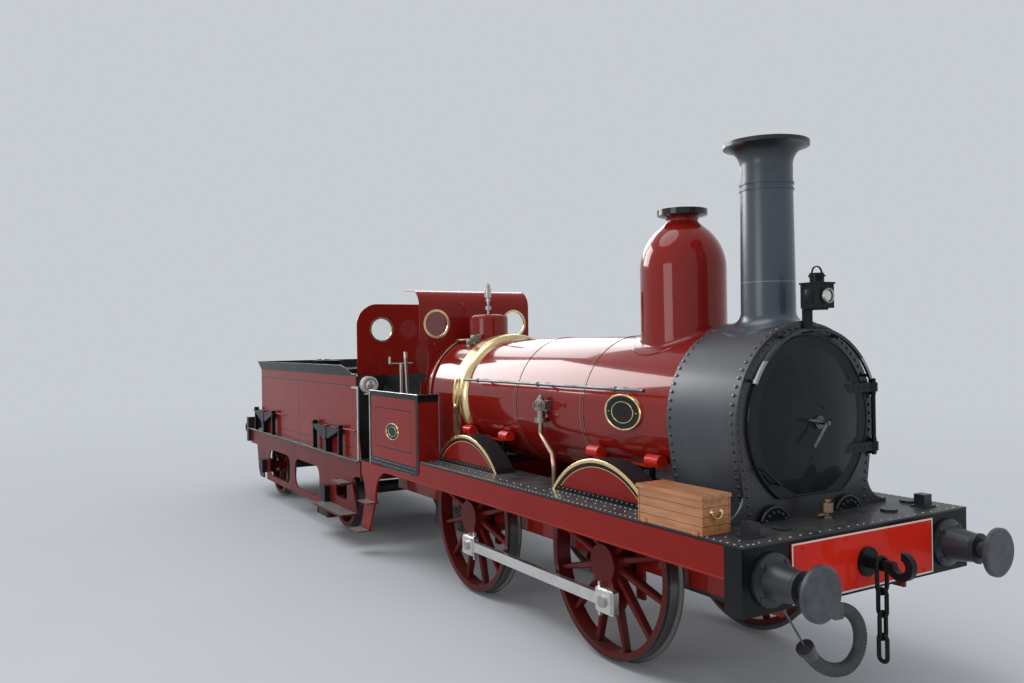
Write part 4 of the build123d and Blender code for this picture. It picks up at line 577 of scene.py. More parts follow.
def door_paint():
    f = paint("smokebox_door_paint", (0.016, 0.018, 0.021), (0.010, 0.011, 0.013), 0.3, 0.3, dust_and_sheen=0.1)
    streaks = f.noise(3.0, 4.0, 0.6, (1, 1, 0.4))
    return f.layer(f.ramp(streaks, (0.5, 0), (0.8, 0.4)), (0.04, 0.044, 0.05), 0.45)


def fittings_paint():
    """Black front fittings; the arched handrail is dark steel with a painted highlight on its lower ends."""
    f = paint("front_plate_fittings_paint", BLACK, DEEP_BLACK, gloss=0.32, varnish=0.3)
    arch = (f.axis("X") > high_of["smokebox"].x + 0.052) * (f.axis("Z") < BOILER_Z + 0.64)
    arch = arch * (f.reach("Y", "Z", (0, BOILER_Z)) > 0.62) * (f.axis("Z") > BOILER_Z + 0.24)
    f.layer(arch, (0.06, 0.06, 0.065), 0.3, 0.8)
    # The handrail's lower ends are painted bright steel: a painted highlight.
    return f.layer(arch * (f.axis("Z") < BOILER_Z + 0.43), (0.30, 0.30, 0.30), 0.3, 1.0)


lined.update({
    "barrel": boiler_paint("barrel_paint", barrel_joints()), "dome": dome_paint(),
    "firebox": boiler_paint("firebox_paint", (low_of["firebox"].x + 0.09,)),
    "valve_casing": boiler_paint("valve_casing_paint", ()), "chimney": chimney_paint(),
    "smokebox": smokebox_paint(), "smokebox_door": door_paint(), "smokebox_fittings": fittings_paint(),
})
print("boiler, chimney and smokebox painted; joints at", rounded(barrel_joints()))

# %% [markdown]
# The wheels have crimson spokes in dark steel tyres, with bright pins; the spokes are darkened with painted
# shade of the running board over them. The front beam's red panel has a white edge. Boards are scuffed where
# they are walked on, buffer heads where they meet, and the pipes are dull copper with grey gunmetal valves.

# %% Paint and metal for the wheels, the beam, the boards and the pipes
DRIVING_TREAD, TENDER_TREAD = 0.736, 0.485


def wheel_paint(node, tread, pins):
    """tread is the tyre's radius, and what lies further out than pins is bare steel."""
    # The spokes' crimson is darker than the body's, and their grime is set to reach 1.7 m: both are painted
    # shade of the running board over the wheels.
    f = paint(node + "_paint", (0.13, 0.0075, 0.0065), (0.085, 0.005, 0.005), 0.32, 0.25, grime_and_shade_top=1.7)
    away = f.reach("X", "Z", middle_of(node))
    f.layer(away > tread - 0.016, (0.030, 0.029, 0.029), 0.45, 0.3)
    f.layer((away > tread - 0.070) * (away < tread - 0.064), DEEP_BLACK, 0.45)
    f.layer((away > tread - 0.004) * (abs(f.axis("Y")) < 0.81), (0.16, 0.155, 0.15), 0.35, 1.0)
    f.layer(abs(f.axis("Y")) > pins, (0.45, 0.44, 0.42), 0.3, 1.0)
    return f.layer(abs(f.axis("Y")) < 0.64, (0.05, 0.045, 0.042), 0.5, 0.5)


def beam_panel_paint():
    f = paint("beam_panel_paint", (0.70, 0.026, 0.010), (0.60, 0.018, 0.008), 0.3, 0.25, grime_and_shade_top=0.3)
    f.lines("YZ", *corners("beam_panel", "y"), 1, (0.0, 0.011, (0.72, 0.70, 0.64), 0.4))
    return f


def spring_paint():
    f = paint("engine_spring_paint", BLACK, DEEP_BLACK, gloss=0.35, varnish=0.2)
    return f.layer(f.axis("Z") > high_of["engine_springs"].z - 0.095, (0.52, 0.020, 0.012), 0.3)


def board_paint():
    f = paint("walked_board_paint", (0.022, 0.025, 0.030), (0.013, 0.015, 0.018), 0.38, 0.15, dust_and_sheen=0.3,
              sheen=0.4)
    scuff = f.ramp(f.noise(9.0, 6.0, 0.7), (0.55, 0), (0.7, 0.6)) * (f.facing("Z") > 0.8)
    return f.layer(scuff, (0.055, 0.060, 0.068), 0.4)


def buffer_paint():
    f = paint("buffer_paint", (0.022, 0.026, 0.031), (0.013, 0.015, 0.018), 0.35, 0.15, sheen=0.5)
    head = abs(f.axis("X")) > high_of["front_buffers"].x - 0.03
    worn = f.ramp(f.noise(7.0, 6.0, 0.7), (0.35, 0.2), (0.65, 1))
    return f.layer(head * worn, (0.085, 0.095, 0.105), 0.38, 0.4)


def pipework_metal():
    f = metal("pipework_metal", COPPER, DULL_COPPER, 0.3)
    firebox_valves = f.within("X", 1.03, 1.20) * (f.axis("Z") > 2.44)
    clacks = f.within("X", 2.90, 3.16) * (f.axis("Z") > 1.70)
    return f.layer(firebox_valves.either(clacks), (0.30, 0.27, 0.24), 0.32, 1.0)


buffer, board = buffer_paint(), board_paint()
rod_steel = metal("filed_rod_steel", (0.78, 0.77, 0.75), (0.50, 0.48, 0.45), 0.24, 4.0, stretch=(0.12, 1, 1))
lined.update({
    "coupling_rod_right": rod_steel, "coupling_rod_left": rod_steel, "beam_panel": beam_panel_paint(),
    "engine_springs": spring_paint(), "engine_rails": dark_steel, "door_dart": dark_steel,
    "hose_fittings": dark_steel, "running_board": board, "tender_footplate": board, "front_buffers": buffer,
    "rear_buffers": buffer, "pipework": pipework_metal(),
    "lubricator": metal("worn_bronze", (0.46, 0.32, 0.21), (0.22, 0.15, 0.10), 0.28),
})
for wheels in ("front_wheels", "rear_wheels"):
    lined[wheels] = wheel_paint(wheels, DRIVING_TREAD, 0.85)
    lined["tender_" + wheels] = wheel_paint("tender_" + wheels, TENDER_TREAD, 1.0)
for finish in lined.values():
    finish.seal()
print("lined nodes:", len(lined))

# %% [markdown]
# Each CAD node gets its finish by filling its material slots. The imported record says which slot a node
# belongs to, so one table from slot to finish dresses the whole engine, and the lined nodes follow by
# name.

# %% Dress the nodes
by_slot = {"crimson": crimson, "signal_red": signal, "black": black, "smoke_black": smoke, "steel": steel,
           "brass": brass, "wood": wood, "glass": glass, "rubber": rubber, "copper": copper, "white": white,
           "iron": iron}


def dress(node, finish):
    slots = nodes[node].data.materials
    for i in range(max(1, len(slots))):
        if len(slots) > i:
            slots[i] = finish.material
        else:
            slots.append(finish.material)


for part in frame["record"]["subparts"]:
    dress(part["node"], lined.get(part["node"]) or by_slot[part["material_slot"]])
print("dressed", len(nodes), "nodes")


# %% [markdown]
# The fittings are made on a bench: a Work is a bmesh with the few shaping steps that small metalwork
# needs. turned() spins a profile as a lathe does, rod() and block() are bar stock, hoop() bends a round
# bar into an arc, strip() bends a flat one, and studs() sets rivet heads in rows.

# %% Metalworking helpers
UP, AHEAD, RIGHT = (0, 0, 1), (1, 0, 0), (0, -1, 0)
SIDES = (-1, 1)


def stand(where, way):
    """A place whose Z points along way."""
    return Matrix.Translation(where) @ Vector(way).to_track_quat("Z", "Y").to_matrix().to_4x4()


class Work:
    """A fitting on the bench."""

    def __init__(self):
        self.mesh = bmesh.new()

    def keep(self, part, matrix=None):
        """Closes a part's open ends, turns its faces outwards and puts it in its place."""
        bmesh.ops.remove_doubles(part, verts=part.verts[:], dist=1e-6)
        open_ends = [edge for edge in part.edges if edge.is_boundary]
        if open_ends:
            bmesh.ops.holes_fill(part, edges=open_ends, sides=0)
        bmesh.ops.recalc_face_normals(part, faces=part.faces[:])
        bmesh.ops.transform(part, matrix=matrix or Matrix(), verts=part.verts[:])
        bench = bpy.data.meshes.new("bench")
        part.to_mesh(bench)
        part.free()
        self.mesh.from_mesh(bench)
        bpy.data.meshes.remove(bench)

    def turned(self, profile, where, way, steps=32):
        """A profile of radii and heights, spun round a line at where that points along way."""
        part = bmesh.new()
        verts = [part.verts.new((radius, 0, height)) for radius, height in profile]
        edges = [part.edges.new(pair) for pair in zip(verts, verts[1:])]
        bmesh.ops.spin(part, geom=verts + edges, cent=(0, 0, 0), axis=UP, angle=2 * math.pi, steps=steps,
                       use_merge=True)
        self.keep(part, stand(where, way))

    def rod(self, start, end, radius, segments=12):
        start, end = Vector(start), Vector(end)
        part = bmesh.new()
        bmesh.ops.create_cone(part, cap_ends=True, segments=segments, radius1=radius, radius2=radius,
                              depth=(end - start).length)
        self.keep(part, stand((start + end) / 2, end - start))

    def run(self, points, radius, segments=12):
        """Rods end to end."""
        for start, end in zip(points, points[1:]):
            self.rod(start, end, radius, segments)

    def block(self, centre, size, edge=0.002):
        """A block with its edges broken."""
        part = bmesh.new()
        bmesh.ops.create_cube(part, size=1)
        bmesh.ops.scale(part, vec=size, verts=part.verts[:])
        bmesh.ops.bevel(part, geom=part.edges[:], offset=edge, affect="EDGES", segments=2, profile=0.5,
                        material=-1)
        self.keep(part, Matrix.Translation(centre))

    def hoop(self, centre, axis, start, radius, angle=360, steps=32):
        """A round bar bent from start round an axis."""
        centre, axis, start = Vector(centre), Vector(axis), Vector(start)
        part = bmesh.new()
        bmesh.ops.create_circle(part, cap_ends=False, segments=8, radius=radius,
                                matrix=stand(start, axis.cross(start - centre)))
        bmesh.ops.spin(part, geom=part.verts[:] + part.edges[:], cent=centre, axis=axis,
                       angle=math.radians(angle), steps=steps, use_merge=angle == 360)
        self.keep(part)

    def strip(self, section, centre, axis, angle=360, steps=48):
        """A bar whose section is this loop of points, bent round an axis."""
        part = bmesh.new()
        verts = [part.verts.new(point) for point in section]
        edges = [part.edges.new((a, b)) for a, b in zip(verts, verts[1:] + verts[:1])]
        bmesh.ops.spin(part, geom=verts + edges, cent=centre, axis=axis, angle=math.radians(angle),
                       steps=steps, use_merge=angle == 360)
        self.keep(part)

    def studs(self, spots, radius=0.0095, proud=0.55):
        """Domed rivet heads; each spot is a place and the way it faces."""
        for where, way in spots:
            bmesh.ops.create_uvsphere(self.mesh, u_segments=8, v_segments=4, radius=radius,
                                      matrix=stand(where, way) @ Matrix.Diagonal((1, 1, proud, 1)))

    def done(self, name, body, slot, finish=None):
        """Takes the fitting off the bench, in its slot's own finish if no other is named."""
        data = bpy.data.meshes.new(name)
        self.mesh.to_mesh(data)
        self.mesh.free()
        data.shade_smooth()
        data.set_sharp_from_angle(angle=math.radians(38))
        made = bpy.data.objects.new(name, data)
        bpy.context.scene.collection.objects.link(made)
        data.materials.append((finish or by_slot[slot]).material)
        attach(made, body)
        print(name, "on", body, len(data.polygons), "faces")


def row(start, end, gap, way):
    """Spots along a line, about this far apart, all facing one way."""
    start, end = Vector(start), Vector(end)
    steps = max(1, round((end - start).length / gap))
    return [(start.lerp(end, i / steps), way) for i in range(steps + 1)]


def both(spots):
    """The same spots on the engine's other side as well."""
    return spots + [(Vector((p[0], -p[1], p[2])), (w[0], -w[1], w[2])) for p, w in spots]


def polar(middle, radius, angle):
    """A point round a middle, in whichever plane the two numbers are."""
    turn = math.radians(angle)
    return middle[0] + radius * math.cos(turn), middle[1] + radius * math.sin(turn)


# %% [markdown]
# The smokebox is the most plainly riveted part: its wrapper is riveted to the front and back plates
# through a rolled angle, and the heads stand in even rows that follow its outline. The outline is an arc
# over the top with straight sides below, so the spots are worked out along exactly that line.

# %% Smokebox rivets
WRAP_RADIUS, WRAP_FOOT, WRAP_PITCH = 0.69, 0.60, 0.062


def wrapper_line(inset):
    """Places and outward angles round the smokebox's outline, set in from its edge."""
    radius, foot = WRAP_RADIUS - inset, WRAP_FOOT - inset
    drop = BOARD_Z - BOILER_Z
    tangent = math.atan2(drop, foot) + math.acos(radius / math.hypot(foot, drop))
    count = round((math.pi - 2 * tangent) * radius / WRAP_PITCH)
    spots = []
    for i in range(count + 1):
        angle = tangent + (math.pi - 2 * tangent) * i / count
        spots.append((radius * math.cos(angle), BOILER_Z + radius * math.sin(angle), angle))
    shoulder = Vector((radius * math.cos(tangent), BOILER_Z + radius * math.sin(tangent)))
    sides = round((shoulder - Vector((foot, BOARD_Z))).length / WRAP_PITCH)
    for i in range(1, sides):
        point = shoulder.lerp(Vector((foot, BOARD_Z)), i / sides)
        spots += [(point.x, point.y, tangent), (-point.x, point.y, math.pi - tangent)]
    return spots


rivet_black = paint("polished_rivet_paint", (0.018, 0.020, 0.023), (0.010, 0.011, 0.013), 0.2, 0.9, sheen=0.5)
rivet_black.seal()
smokebox_low, smokebox_high = low_of["smokebox"].x, high_of["smokebox"].x
work = Work()
for x in (smokebox_low + 0.03, smokebox_high - 0.042):
    work.studs([((x, y, z), (0, math.cos(a), math.sin(a))) for y, z, a in wrapper_line(0)], 0.0145, 0.8)
work.studs([((smokebox_high, y, z), AHEAD) for y, z, a in wrapper_line(0.032)], 0.0145, 0.8)
work.studs(both(row((smokebox_high, -0.64, 1.285), (smokebox_high, -0.79, 1.285), 0.05, AHEAD)), 0.009)
work.done("smokebox_rivets", "engine", "smoke_black", rivet_black)

# %% [markdown]
# The cylinder covers peep out above the running board as two low discs. Each has a raised rim and an arc
# of nuts. The rim is a bent bar, and a nut is a profile spun in six steps, which gives it its six sides.

# %% Cylinder covers' rims and nuts
COVER_Y, COVER_Z, COVER_RADIUS = 0.37, 1.215, 0.15
cover_face = smokebox_high + 0.03
work = Work()
for side in SIDES:
    middle = (side * COVER_Y, COVER_Z)
    first = polar(middle, COVER_RADIUS - 0.012, 24)
    work.hoop((cover_face, *middle), AHEAD, (cover_face, *first), 0.009, 132, 24)
    for angle in range(30, 160, 24):
        nut = polar(middle, COVER_RADIUS - 0.045, angle)
        work.turned(((0, 0.018), (0.009, 0.018), (0.013, 0.013), (0.013, 0)), (cover_face, *nut), AHEAD, 6)
work.done("cylinder_cover_rims", "engine", "black", smoke)

# %% [markdown]
# The door has a thin rolled rim that seats on the front plate, straight along its flat foot. It is bent
# from round bar, so one hoop runs round the dish and one rod closes it below. Strap bolts and a few studs
# finish the face.

# %% Door rim, strap bolts and studs
DOOR_RADIUS, DOOR_FLAT, RIM_BAR = 0.598, 0.510, 0.009
door_back = low_of["smokebox_door"].x
rim_x, strap_x = door_back + 0.018, door_back + 0.0475
foot_angle = math.degrees(math.asin(-DOOR_FLAT / DOOR_RADIUS))
foot_start = polar((0, BOILER_Z), DOOR_RADIUS - 0.006, foot_angle + 1.5)
foot_end = polar((0, BOILER_Z), DOOR_RADIUS - 0.006, 178.5 - foot_angle)
foot_z = BOILER_Z - DOOR_FLAT + 0.008
work = Work()
work.hoop((rim_x, 0, BOILER_Z), AHEAD, (rim_x, *foot_start), RIM_BAR, 177 - 2 * foot_angle, 72)
work.rod((rim_x, foot_start[0], foot_z), (rim_x, foot_end[0], foot_z), RIM_BAR)
for z in (BOILER_Z - 0.215, BOILER_Z + 0.215):
    work.studs(row((strap_x, 0.37, z), (strap_x, 0.60, z), 0.057, AHEAD), 0.010)
for y, z in ((-0.06, 0.243), (-0.25, -0.015), (-0.05, -0.243), (0.13, 0.01), (0.05, 0.1), (-0.05, -0.03)):
    dish = 0.0195 + 0.07 * (1 - (y * y + z * z) / 0.508**2)
    work.studs([((door_back + dish, y, BOILER_Z + z), AHEAD)], 0.011, 0.8)
work.done("door_rim_and_studs", "smokebox_door", "smoke_black", door_paint().seal())

# %% [markdown]
# The running board and the tender's footplate are riveted to angle iron along their edges. The heads have
# been walked bright, so they are painted steel with worn tops rather than plain black.

# %% Running board and footplate rivets
AXLES, AXLE_Z, EDGE_Y, INNER_Y = (4.14, 1.925), 0.764, -1.083, -0.985
worn_steel = paint("worn_rivet_paint", (0.10, 0.105, 0.11), (0.045, 0.048, 0.052), gloss=0.35, varnish=0.2)
worn_steel.layer(worn_steel.facing("Z") > 0.55, (0.36, 0.37, 0.38), 0.35, 0.6).seal()
board_back, board_front = low_of["running_board"].x + 0.03, high_of["running_board"].x - 0.03
work = Work()
spots = row((board_back, EDGE_Y, BOARD_Z), (board_front, EDGE_Y, BOARD_Z), 0.058, UP)
for start, end in ((board_back, 4.86), (5.62, board_front)):
    spots += row((start, INNER_Y, BOARD_Z), (end, INNER_Y, BOARD_Z), 0.12, UP)
spots += row((board_front - 0.01, -1.02, BOARD_Z), (board_front - 0.01, -0.03, BOARD_Z), 0.09, UP)
for axle in AXLES:
    angle_z = BOARD_Z + 0.022
    spots += row((axle - 0.60, -0.875, angle_z), (axle + 0.60, -0.875, angle_z), 0.06, RIGHT)
    spots += row((axle - 0.62, -0.905, BOARD_Z), (axle + 0.62, -0.905, BOARD_Z), 0.06, UP)
work.studs(both(spots), 0.0085, 0.6)
work.done("running_board_rivets", "engine", "black", worn_steel)

work = Work()
footplate_z = high_of["tender_frames"].z + 0.012
work.studs(both(row((-5.78, EDGE_Y, footplate_z), (-0.54, EDGE_Y, footplate_z), 0.06, UP)), 0.0085, 0.6)
work.done("tender_footplate_rivets", "tender", "black", worn_steel)

# %% [markdown]
# Plates that are joined edge to edge show a line of flush heads: the tank's side joint and its corners,
# the tender's screen, and the cab panels' lower edge. The heads on the tank and the screen carry the colour
# of the plate they are in; those on the cab panels are worn steel.

# %% Plate rivets
tank_low, tank_high = low_of["tender_tank"], high_of["tender_tank"]
foot, top = tank_low.z + 0.05, tank_high.z - 0.04
work = Work()
spots = []
for x in (TANK_JOINT - 0.022, TANK_JOINT + 0.022, tank_low.x + 0.03, TANK_FRONT - 0.03):
    spots += row((x, tank_low.y, foot), (x, tank_low.y, top), 0.055, RIGHT)
low_row = tank_low.z + 0.03
spots += row((tank_low.x + 0.05, tank_low.y, low_row), (TANK_FRONT - 0.05, tank_low.y, low_row), 0.07, RIGHT)
for y in (-0.97, -0.035):
    spots += row((tank_low.x, y, foot), (tank_low.x, y, top), 0.055, (-1, 0, 0))
work.studs(both(spots), 0.0065, 0.45)
work.done("tank_rivets", "tender", "crimson")

work = Work()
for x, way in ((high_of["tender_screen"].x, 1), (low_of["tender_screen"].x, -1)):
    work.studs(both(row((x, -0.30, 2.30), (x, -0.30, 2.86), 0.06, (way, 0, 0))), 0.0065, 0.45)
work.done("tender_screen_rivets", "tender", "crimson")

panel_low, panel_high = low_of["cab_sides"], high_of["cab_sides"]
work = Work()
for z in (panel_low.z + 0.022, panel_low.z + 0.062):
    spots = row((panel_low.x + 0.03, panel_low.y, z), (panel_high.x - 0.09, panel_low.y, z), 0.045, RIGHT)
    work.studs(both(spots), 0.0085, 0.6)
work.done("cab_panel_rivets", "engine", "black", worn_steel)

# %% [markdown]
# Half-round beading covers the raw edges of thin plate: over the cab panels and round the cab sheet.
# Bending it is only a matter of rods for the straight runs and hoops for the corners.

# %% Cab beading and capping
cap_z = panel_high.z + 0.003
work = Work()
for side in SIDES:
    work.block(((panel_low.x + panel_high.x) / 2, side * (panel_high.y - 0.004), cap_z),
               (panel_high.x - panel_low.x + 0.012, 0.034, 0.012))
    work.block((panel_high.x - 0.004, side * 0.985, cap_z), (0.034, 0.24, 0.012))
work.done("cab_panel_capping", "engine", "black")

work = Work()
for side in SIDES:
    y = side * (panel_high.y + 0.002)
    work.rod((panel_low.x - 0.002, y, panel_low.z), (panel_low.x - 0.002, y, panel_high.z), 0.008)
    work.rod((panel_low.x, y, panel_high.z + 0.008), (panel_high.x, y, panel_high.z + 0.008), 0.005)
work.done("cab_panel_beading", "engine", "steel")

sheet_low, sheet_high = low_of["cab_sheet"], high_of["cab_sheet"]
BEAD, SHOULDER_Z, SHOULDER, CORNER_Z, ROOF_Z = 0.007, 2.528, 0.186, 2.908, 3.108
edge_x = sheet_high.x - 0.004
bend_x = sheet_high.x - 0.19
work = Work()
for side in SIDES:
    y = side * sheet_high.y
    work.rod((edge_x, y, SHOULDER_Z), (edge_x, y, CORNER_Z), BEAD)
    work.hoop((bend_x, y, CORNER_Z), (0, 1, 0), (edge_x, y, CORNER_Z), BEAD, -90, 12)
    work.rod((bend_x, y, CORNER_Z + SHOULDER), (sheet_low.x, y, ROOF_Z), BEAD)
    waist = [(0.652, 2.468), (0.612, 2.368), (0.612, 2.228), (0.658, 2.048)]
    work.run([(edge_x, y, SHOULDER_Z)] + [(edge_x, side * out, z) for out, z in waist], BEAD)
work.rod((sheet_low.x, -sheet_high.y, ROOF_Z), (sheet_low.x, sheet_high.y, ROOF_Z), BEAD)
work.done("cab_sheet_beading", "engine", "crimson")
print("cab sheet", rounded(sheet_low), rounded(sheet_high))

# %% [markdown]
# The splashers' brass rims are flat strips bent to the wheel's circle. The strip's section is a small
# rectangle with broken corners, spun round the axle from one end on the board to the other.

# %% Splasher rims
RIM_RADIUS, RIM_WIDTH, SPLASHER_FACE = 0.808, 0.034, 0.871
RIM_SECTION = ((RIM_RADIUS, 0), (RIM_RADIUS, 0.006), (RIM_RADIUS - 0.005, 0.009),
               (RIM_RADIUS - RIM_WIDTH + 0.005, 0.009), (RIM_RADIUS - RIM_WIDTH, 0))
start = math.degrees(math.asin((BOARD_Z + 0.004 - AXLE_Z) / RIM_RADIUS))
work = Work()
for axle in AXLES:
    for side in SIDES:
        ring = []
        for radius, out in RIM_SECTION:
            x, z = polar((axle, AXLE_Z), radius, start)
            ring.append((x, side * (SPLASHER_FACE + out), z))
        work.strip(ring, (axle, 0, AXLE_Z), RIGHT, 180 - 2 * start)
work.done("splasher_rims", "engine", "brass")

# %% [markdown]
# Plates are cast brass with a blacked ground: a round one on the boiler's right side and an oval one on
# the right cab panel. They are left blank. A spun profile makes each disc, drawn out to an oval.

# %% Blank plates
plate_black = paint("plate_ground_paint", (0.012, 0.012, 0.013), (0.02, 0.02, 0.021), 0.3, 0.2).seal()


def plate(name, where, wide, tall, seat):
    """A blank oval with a raised rim on the engine's right side; seat is how far it stands off."""
    ground, rim = Work(), Work()
    for shape, profile in (
        (ground, ((0, 0.004), (0.9, 0.004), (0.9, -seat))),
        (rim, ((0.91, 0.0032), (0.93, 0.008), (0.98, 0.008), (1, 0.0048), (1, -seat))),
        (rim, ((0.56, 0.0032), (0.57, 0.0064), (0.60, 0.0064), (0.61, 0.0032))),
    ):
        shape.turned([(share * wide / 2, seat + height) for share, height in profile], (0, 0, 0), UP, 48)
    rim.studs([((across * wide * 0.38, 0, seat + 0.004), UP) for across in SIDES], 0.009, 0.6)
    turned_right = Matrix.Translation(where) @ Matrix.Rotation(math.pi / 2, 4, "X")
    oval = turned_right @ Matrix.Diagonal((1, tall / wide, 1, 1))
    for shape in (ground, rim):
        bmesh.ops.transform(shape.mesh, matrix=oval, verts=shape.mesh.verts[:])
        bmesh.ops.recalc_face_normals(shape.mesh, faces=shape.mesh.faces[:])
    ground.done(name + "_ground", "engine", "black", plate_black)
    rim.done(name + "_rim", "engine", "brass")


plate("boiler_plate", (4.151, -0.592, 1.923), 0.46, 0.285, 0.040)
plate("cab_plate", (0.656, -1.108, 1.519), 0.36, 0.185, 0.0)

# %% [markdown]
# The wide brass band over the joint of boiler and firebox has a rounded moulding on each edge, a wide one
# in front and a narrow one behind, and an oval ring on each side. The mouldings are spun round the boiler.
# A ring is a small hoop drawn out to an oval and laid against the band.

# %% Brass band
band_low, band_high = low_of["brass_band"], high_of["brass_band"]
band_top = BOILER_Z + (band_high.y - band_low.y) / 2
work = Work()
for x, way, section in (
    (band_high.x, 1, ((-0.002, 0.012), (-0.002, 0.0), (0.022, 0.002), (0.045, 0.010), (0.065, 0.022),
                      (0.080, 0.038), (0.090, 0.052))),
    (band_low.x, -1, ((-0.002, 0.016), (-0.002, 0.0), (0.014, 0.001), (0.026, 0.006), (0.034, 0.016))),
):
    bead = [(x + way * reach, 0, band_top - drop) for reach, drop in section]
    work.strip(bead, (0, 0, BOILER_Z), AHEAD, 360, 96)
work.done("band_mouldings", "engine", "brass")

work = Work()
for side in SIDES:
    part = bmesh.new()
    bmesh.ops.create_circle(part, cap_ends=False, segments=8, radius=0.008,
                            matrix=stand((0.05, 0, 0), (0, 1, 0)))
    bmesh.ops.spin(part, geom=part.verts[:] + part.edges[:], cent=(0, 0, 0), axis=UP, angle=2 * math.pi,
                   steps=36, use_merge=True)
    bmesh.ops.scale(part, vec=(1, 3.0, 1), verts=part.verts[:])
    lean = Matrix.Rotation(math.radians(side * 7), 4, "X") @ Matrix.Rotation(math.pi / 2, 4, "X")
    work.keep(part, Matrix.Translation((1.36, side * 0.668, 1.96)) @ lean)
work.done("band_oval_rings", "engine", "brass")
print("brass band", rounded(band_low), rounded(band_high))

# %% [markdown]
# A clack valve is the one-way valve where feed water enters the boiler. Its body is cast with round
# flanges and has a screwed bonnet and a small handwheel. The ejector's valves on the firebox have bonnets
# of the same kind. All of them are lathe work, so each is one spun profile.

# %% Valve bonnets and handwheels
CLACK_X, CLACK_Y, FIREBOX_RADIUS = 3.017, 0.669, 0.655
BONNET = ((0, 0.062), (0.012, 0.062), (0.014, 0.05), (0.024, 0.046), (0.026, 0.03), (0.036, 0.026),
          (0.038, 0.014), (0.046, 0.012), (0.046, 0))
gunmetal = metal("grey_gunmetal", (0.32, 0.29, 0.26), (0.16, 0.14, 0.12), 0.28).seal()
work = Work()
for side in SIDES:
    y = side * CLACK_Y
    work.turned(((0, 0.014), (0.052, 0.014), (0.056, 0.01), (0.056, 0)), (CLACK_X, y, 1.786), UP, 24)
    work.turned(((0, 0.016), (0.050, 0.016), (0.054, 0.01), (0.054, 0)), (CLACK_X, y, 1.872), UP, 24)
    work.turned(BONNET, (CLACK_X, y, 1.952), UP, 20)
    away = Vector((0.5, side, 0)).normalized()
    work.turned(BONNET, (CLACK_X + 0.06, side * 0.70, 1.925), away, 20)
    centre = Vector((CLACK_X + 0.095, side * 0.77, 1.925))
    work.hoop(centre, away, centre + Vector((0, 0, 0.038)), 0.006, 360, 24)
    work.rod(centre - Vector((0, 0, 0.036)), centre + Vector((0, 0, 0.036)), 0.004, 8)
for y, size in ((-0.313, 0.040), (-0.370, 0.034), (-0.262, 0.030)):
    z = BOILER_Z + math.sqrt(FIREBOX_RADIUS**2 - y * y) + size
    out = Vector((0.9, y, z - BOILER_Z)).normalized()
    bonnet = [(radius * size / 0.046, height * 0.8) for radius, height in BONNET]
    work.turned(bonnet, Vector((1.10, y, z)) + out * size * 0.6, out, 20)
work.done("valve_bonnets", "engine", "steel", gunmetal)

# %% [markdown]
# The toolbox stands on two battens, its corners are strapped, and a drop handle hangs on each end. A drop
# handle is half a hoop with two turned bosses.

# %% Toolbox fittings
box_low, box_high = low_of["toolbox"], high_of["toolbox"]
HANDLE_Y, HANDLE_Z, HANDLE_RADIUS = -0.99, 1.405, 0.042
work = Work()
for x, way in ((box_low.x, -1), (box_high.x, 1)):
    out = x + way * 0.014
    work.hoop((out, HANDLE_Y, HANDLE_Z), AHEAD, (out, HANDLE_Y - HANDLE_RADIUS, HANDLE_Z), 0.0055, 180, 16)
    for y in (HANDLE_Y - HANDLE_RADIUS, HANDLE_Y + HANDLE_RADIUS):
        boss = ((0, 0.02), (0.008, 0.018), (0.012, 0.008), (0.016, 0.004), (0.016, 0))
        work.turned(boss, (x, y, HANDLE_Z + 0.003), (way, 0, 0), 16)
work.done("toolbox_handles", "engine", "brass")
work = Work()
for x in (box_low.x + 0.001, box_high.x - 0.001):
    for y in (-1.104, -0.876):
        work.block((x, y, (BOARD_Z + box_high.z) / 2 - 0.004), (0.012, 0.012, 0.222), 0.003)
for x in (box_low.x + 0.06, box_high.x - 0.06):
    work.block((x, -1.108, BOARD_Z + 0.014), (0.05, 0.016, 0.026), 0.003)
work.done("toolbox_corners", "engine", "wood")

# %% [markdown]
# A lens gives each lamp its look: a thick dome of glass in a turned rim. The glass and the reflector
# behind it are made as one pale, half metallic gloss. The front lamp is a black square one with a vented
# top, the one on the tender is round and white.

# %% Lamp lenses
lens = Finish("lamp_lens", Coat_Weight=1.0, Coat_Roughness=0.02)
lens.shade = lens.mix(lens.noise(30.0, 2.0), (0.50, 0.52, 0.52), (0.85, 0.86, 0.84))
lens.matt = lens.noise(25.0) * 0.1 + 0.05
lens.metallic = 0.6
lens.seal()
LENS_DOME = ((0, 0.32), (0.35, 0.30), (0.7, 0.19), (0.95, 0.0))
lamp_low, lamp_high = low_of["front_lamp"], high_of["front_lamp"]
lens_z = lamp_low.z + 0.0825
for name, body, where, radius in (
    ("front_lamp", "engine", (lamp_high.x - 0.004, 0, lens_z), 0.046),
    ("tender_lamp", "tender", (high_of["tender_lamp"].x - 0.011, -0.852, 1.982), 0.072),
):
    work = Work()
    work.turned([(radius * r, radius * height) for r, height in LENS_DOME], where, AHEAD)
    work.done(name + "_lens", body, "steel", lens)
    work = Work()
    work.turned(((radius * 0.93, 0), (radius * 0.95, 0.016), (radius * 1.08, 0.018), (radius * 1.16, 0.006),
                 (radius * 1.16, -0.004)), where, AHEAD)
    work.done(name + "_lens_rim", body, "steel")
lamp_mid = (lamp_low.x + lamp_high.x) / 2 - 0.004
work = Work()
for side in SIDES:
    face = side * 0.0775
    for x in (lamp_mid - 0.06, lamp_mid + 0.06):
        work.studs([((x, face, lens_z + rise), (0, side, 0)) for rise in (-0.06, 0.06)], 0.006, 0.6)
    work.block((lamp_mid, face, lens_z), (0.07, 0.008, 0.09), 0.003)
work.rod((lamp_mid, 0, lamp_high.z - 0.085), (lamp_mid, 0, lamp_high.z - 0.050), 0.05, 24)
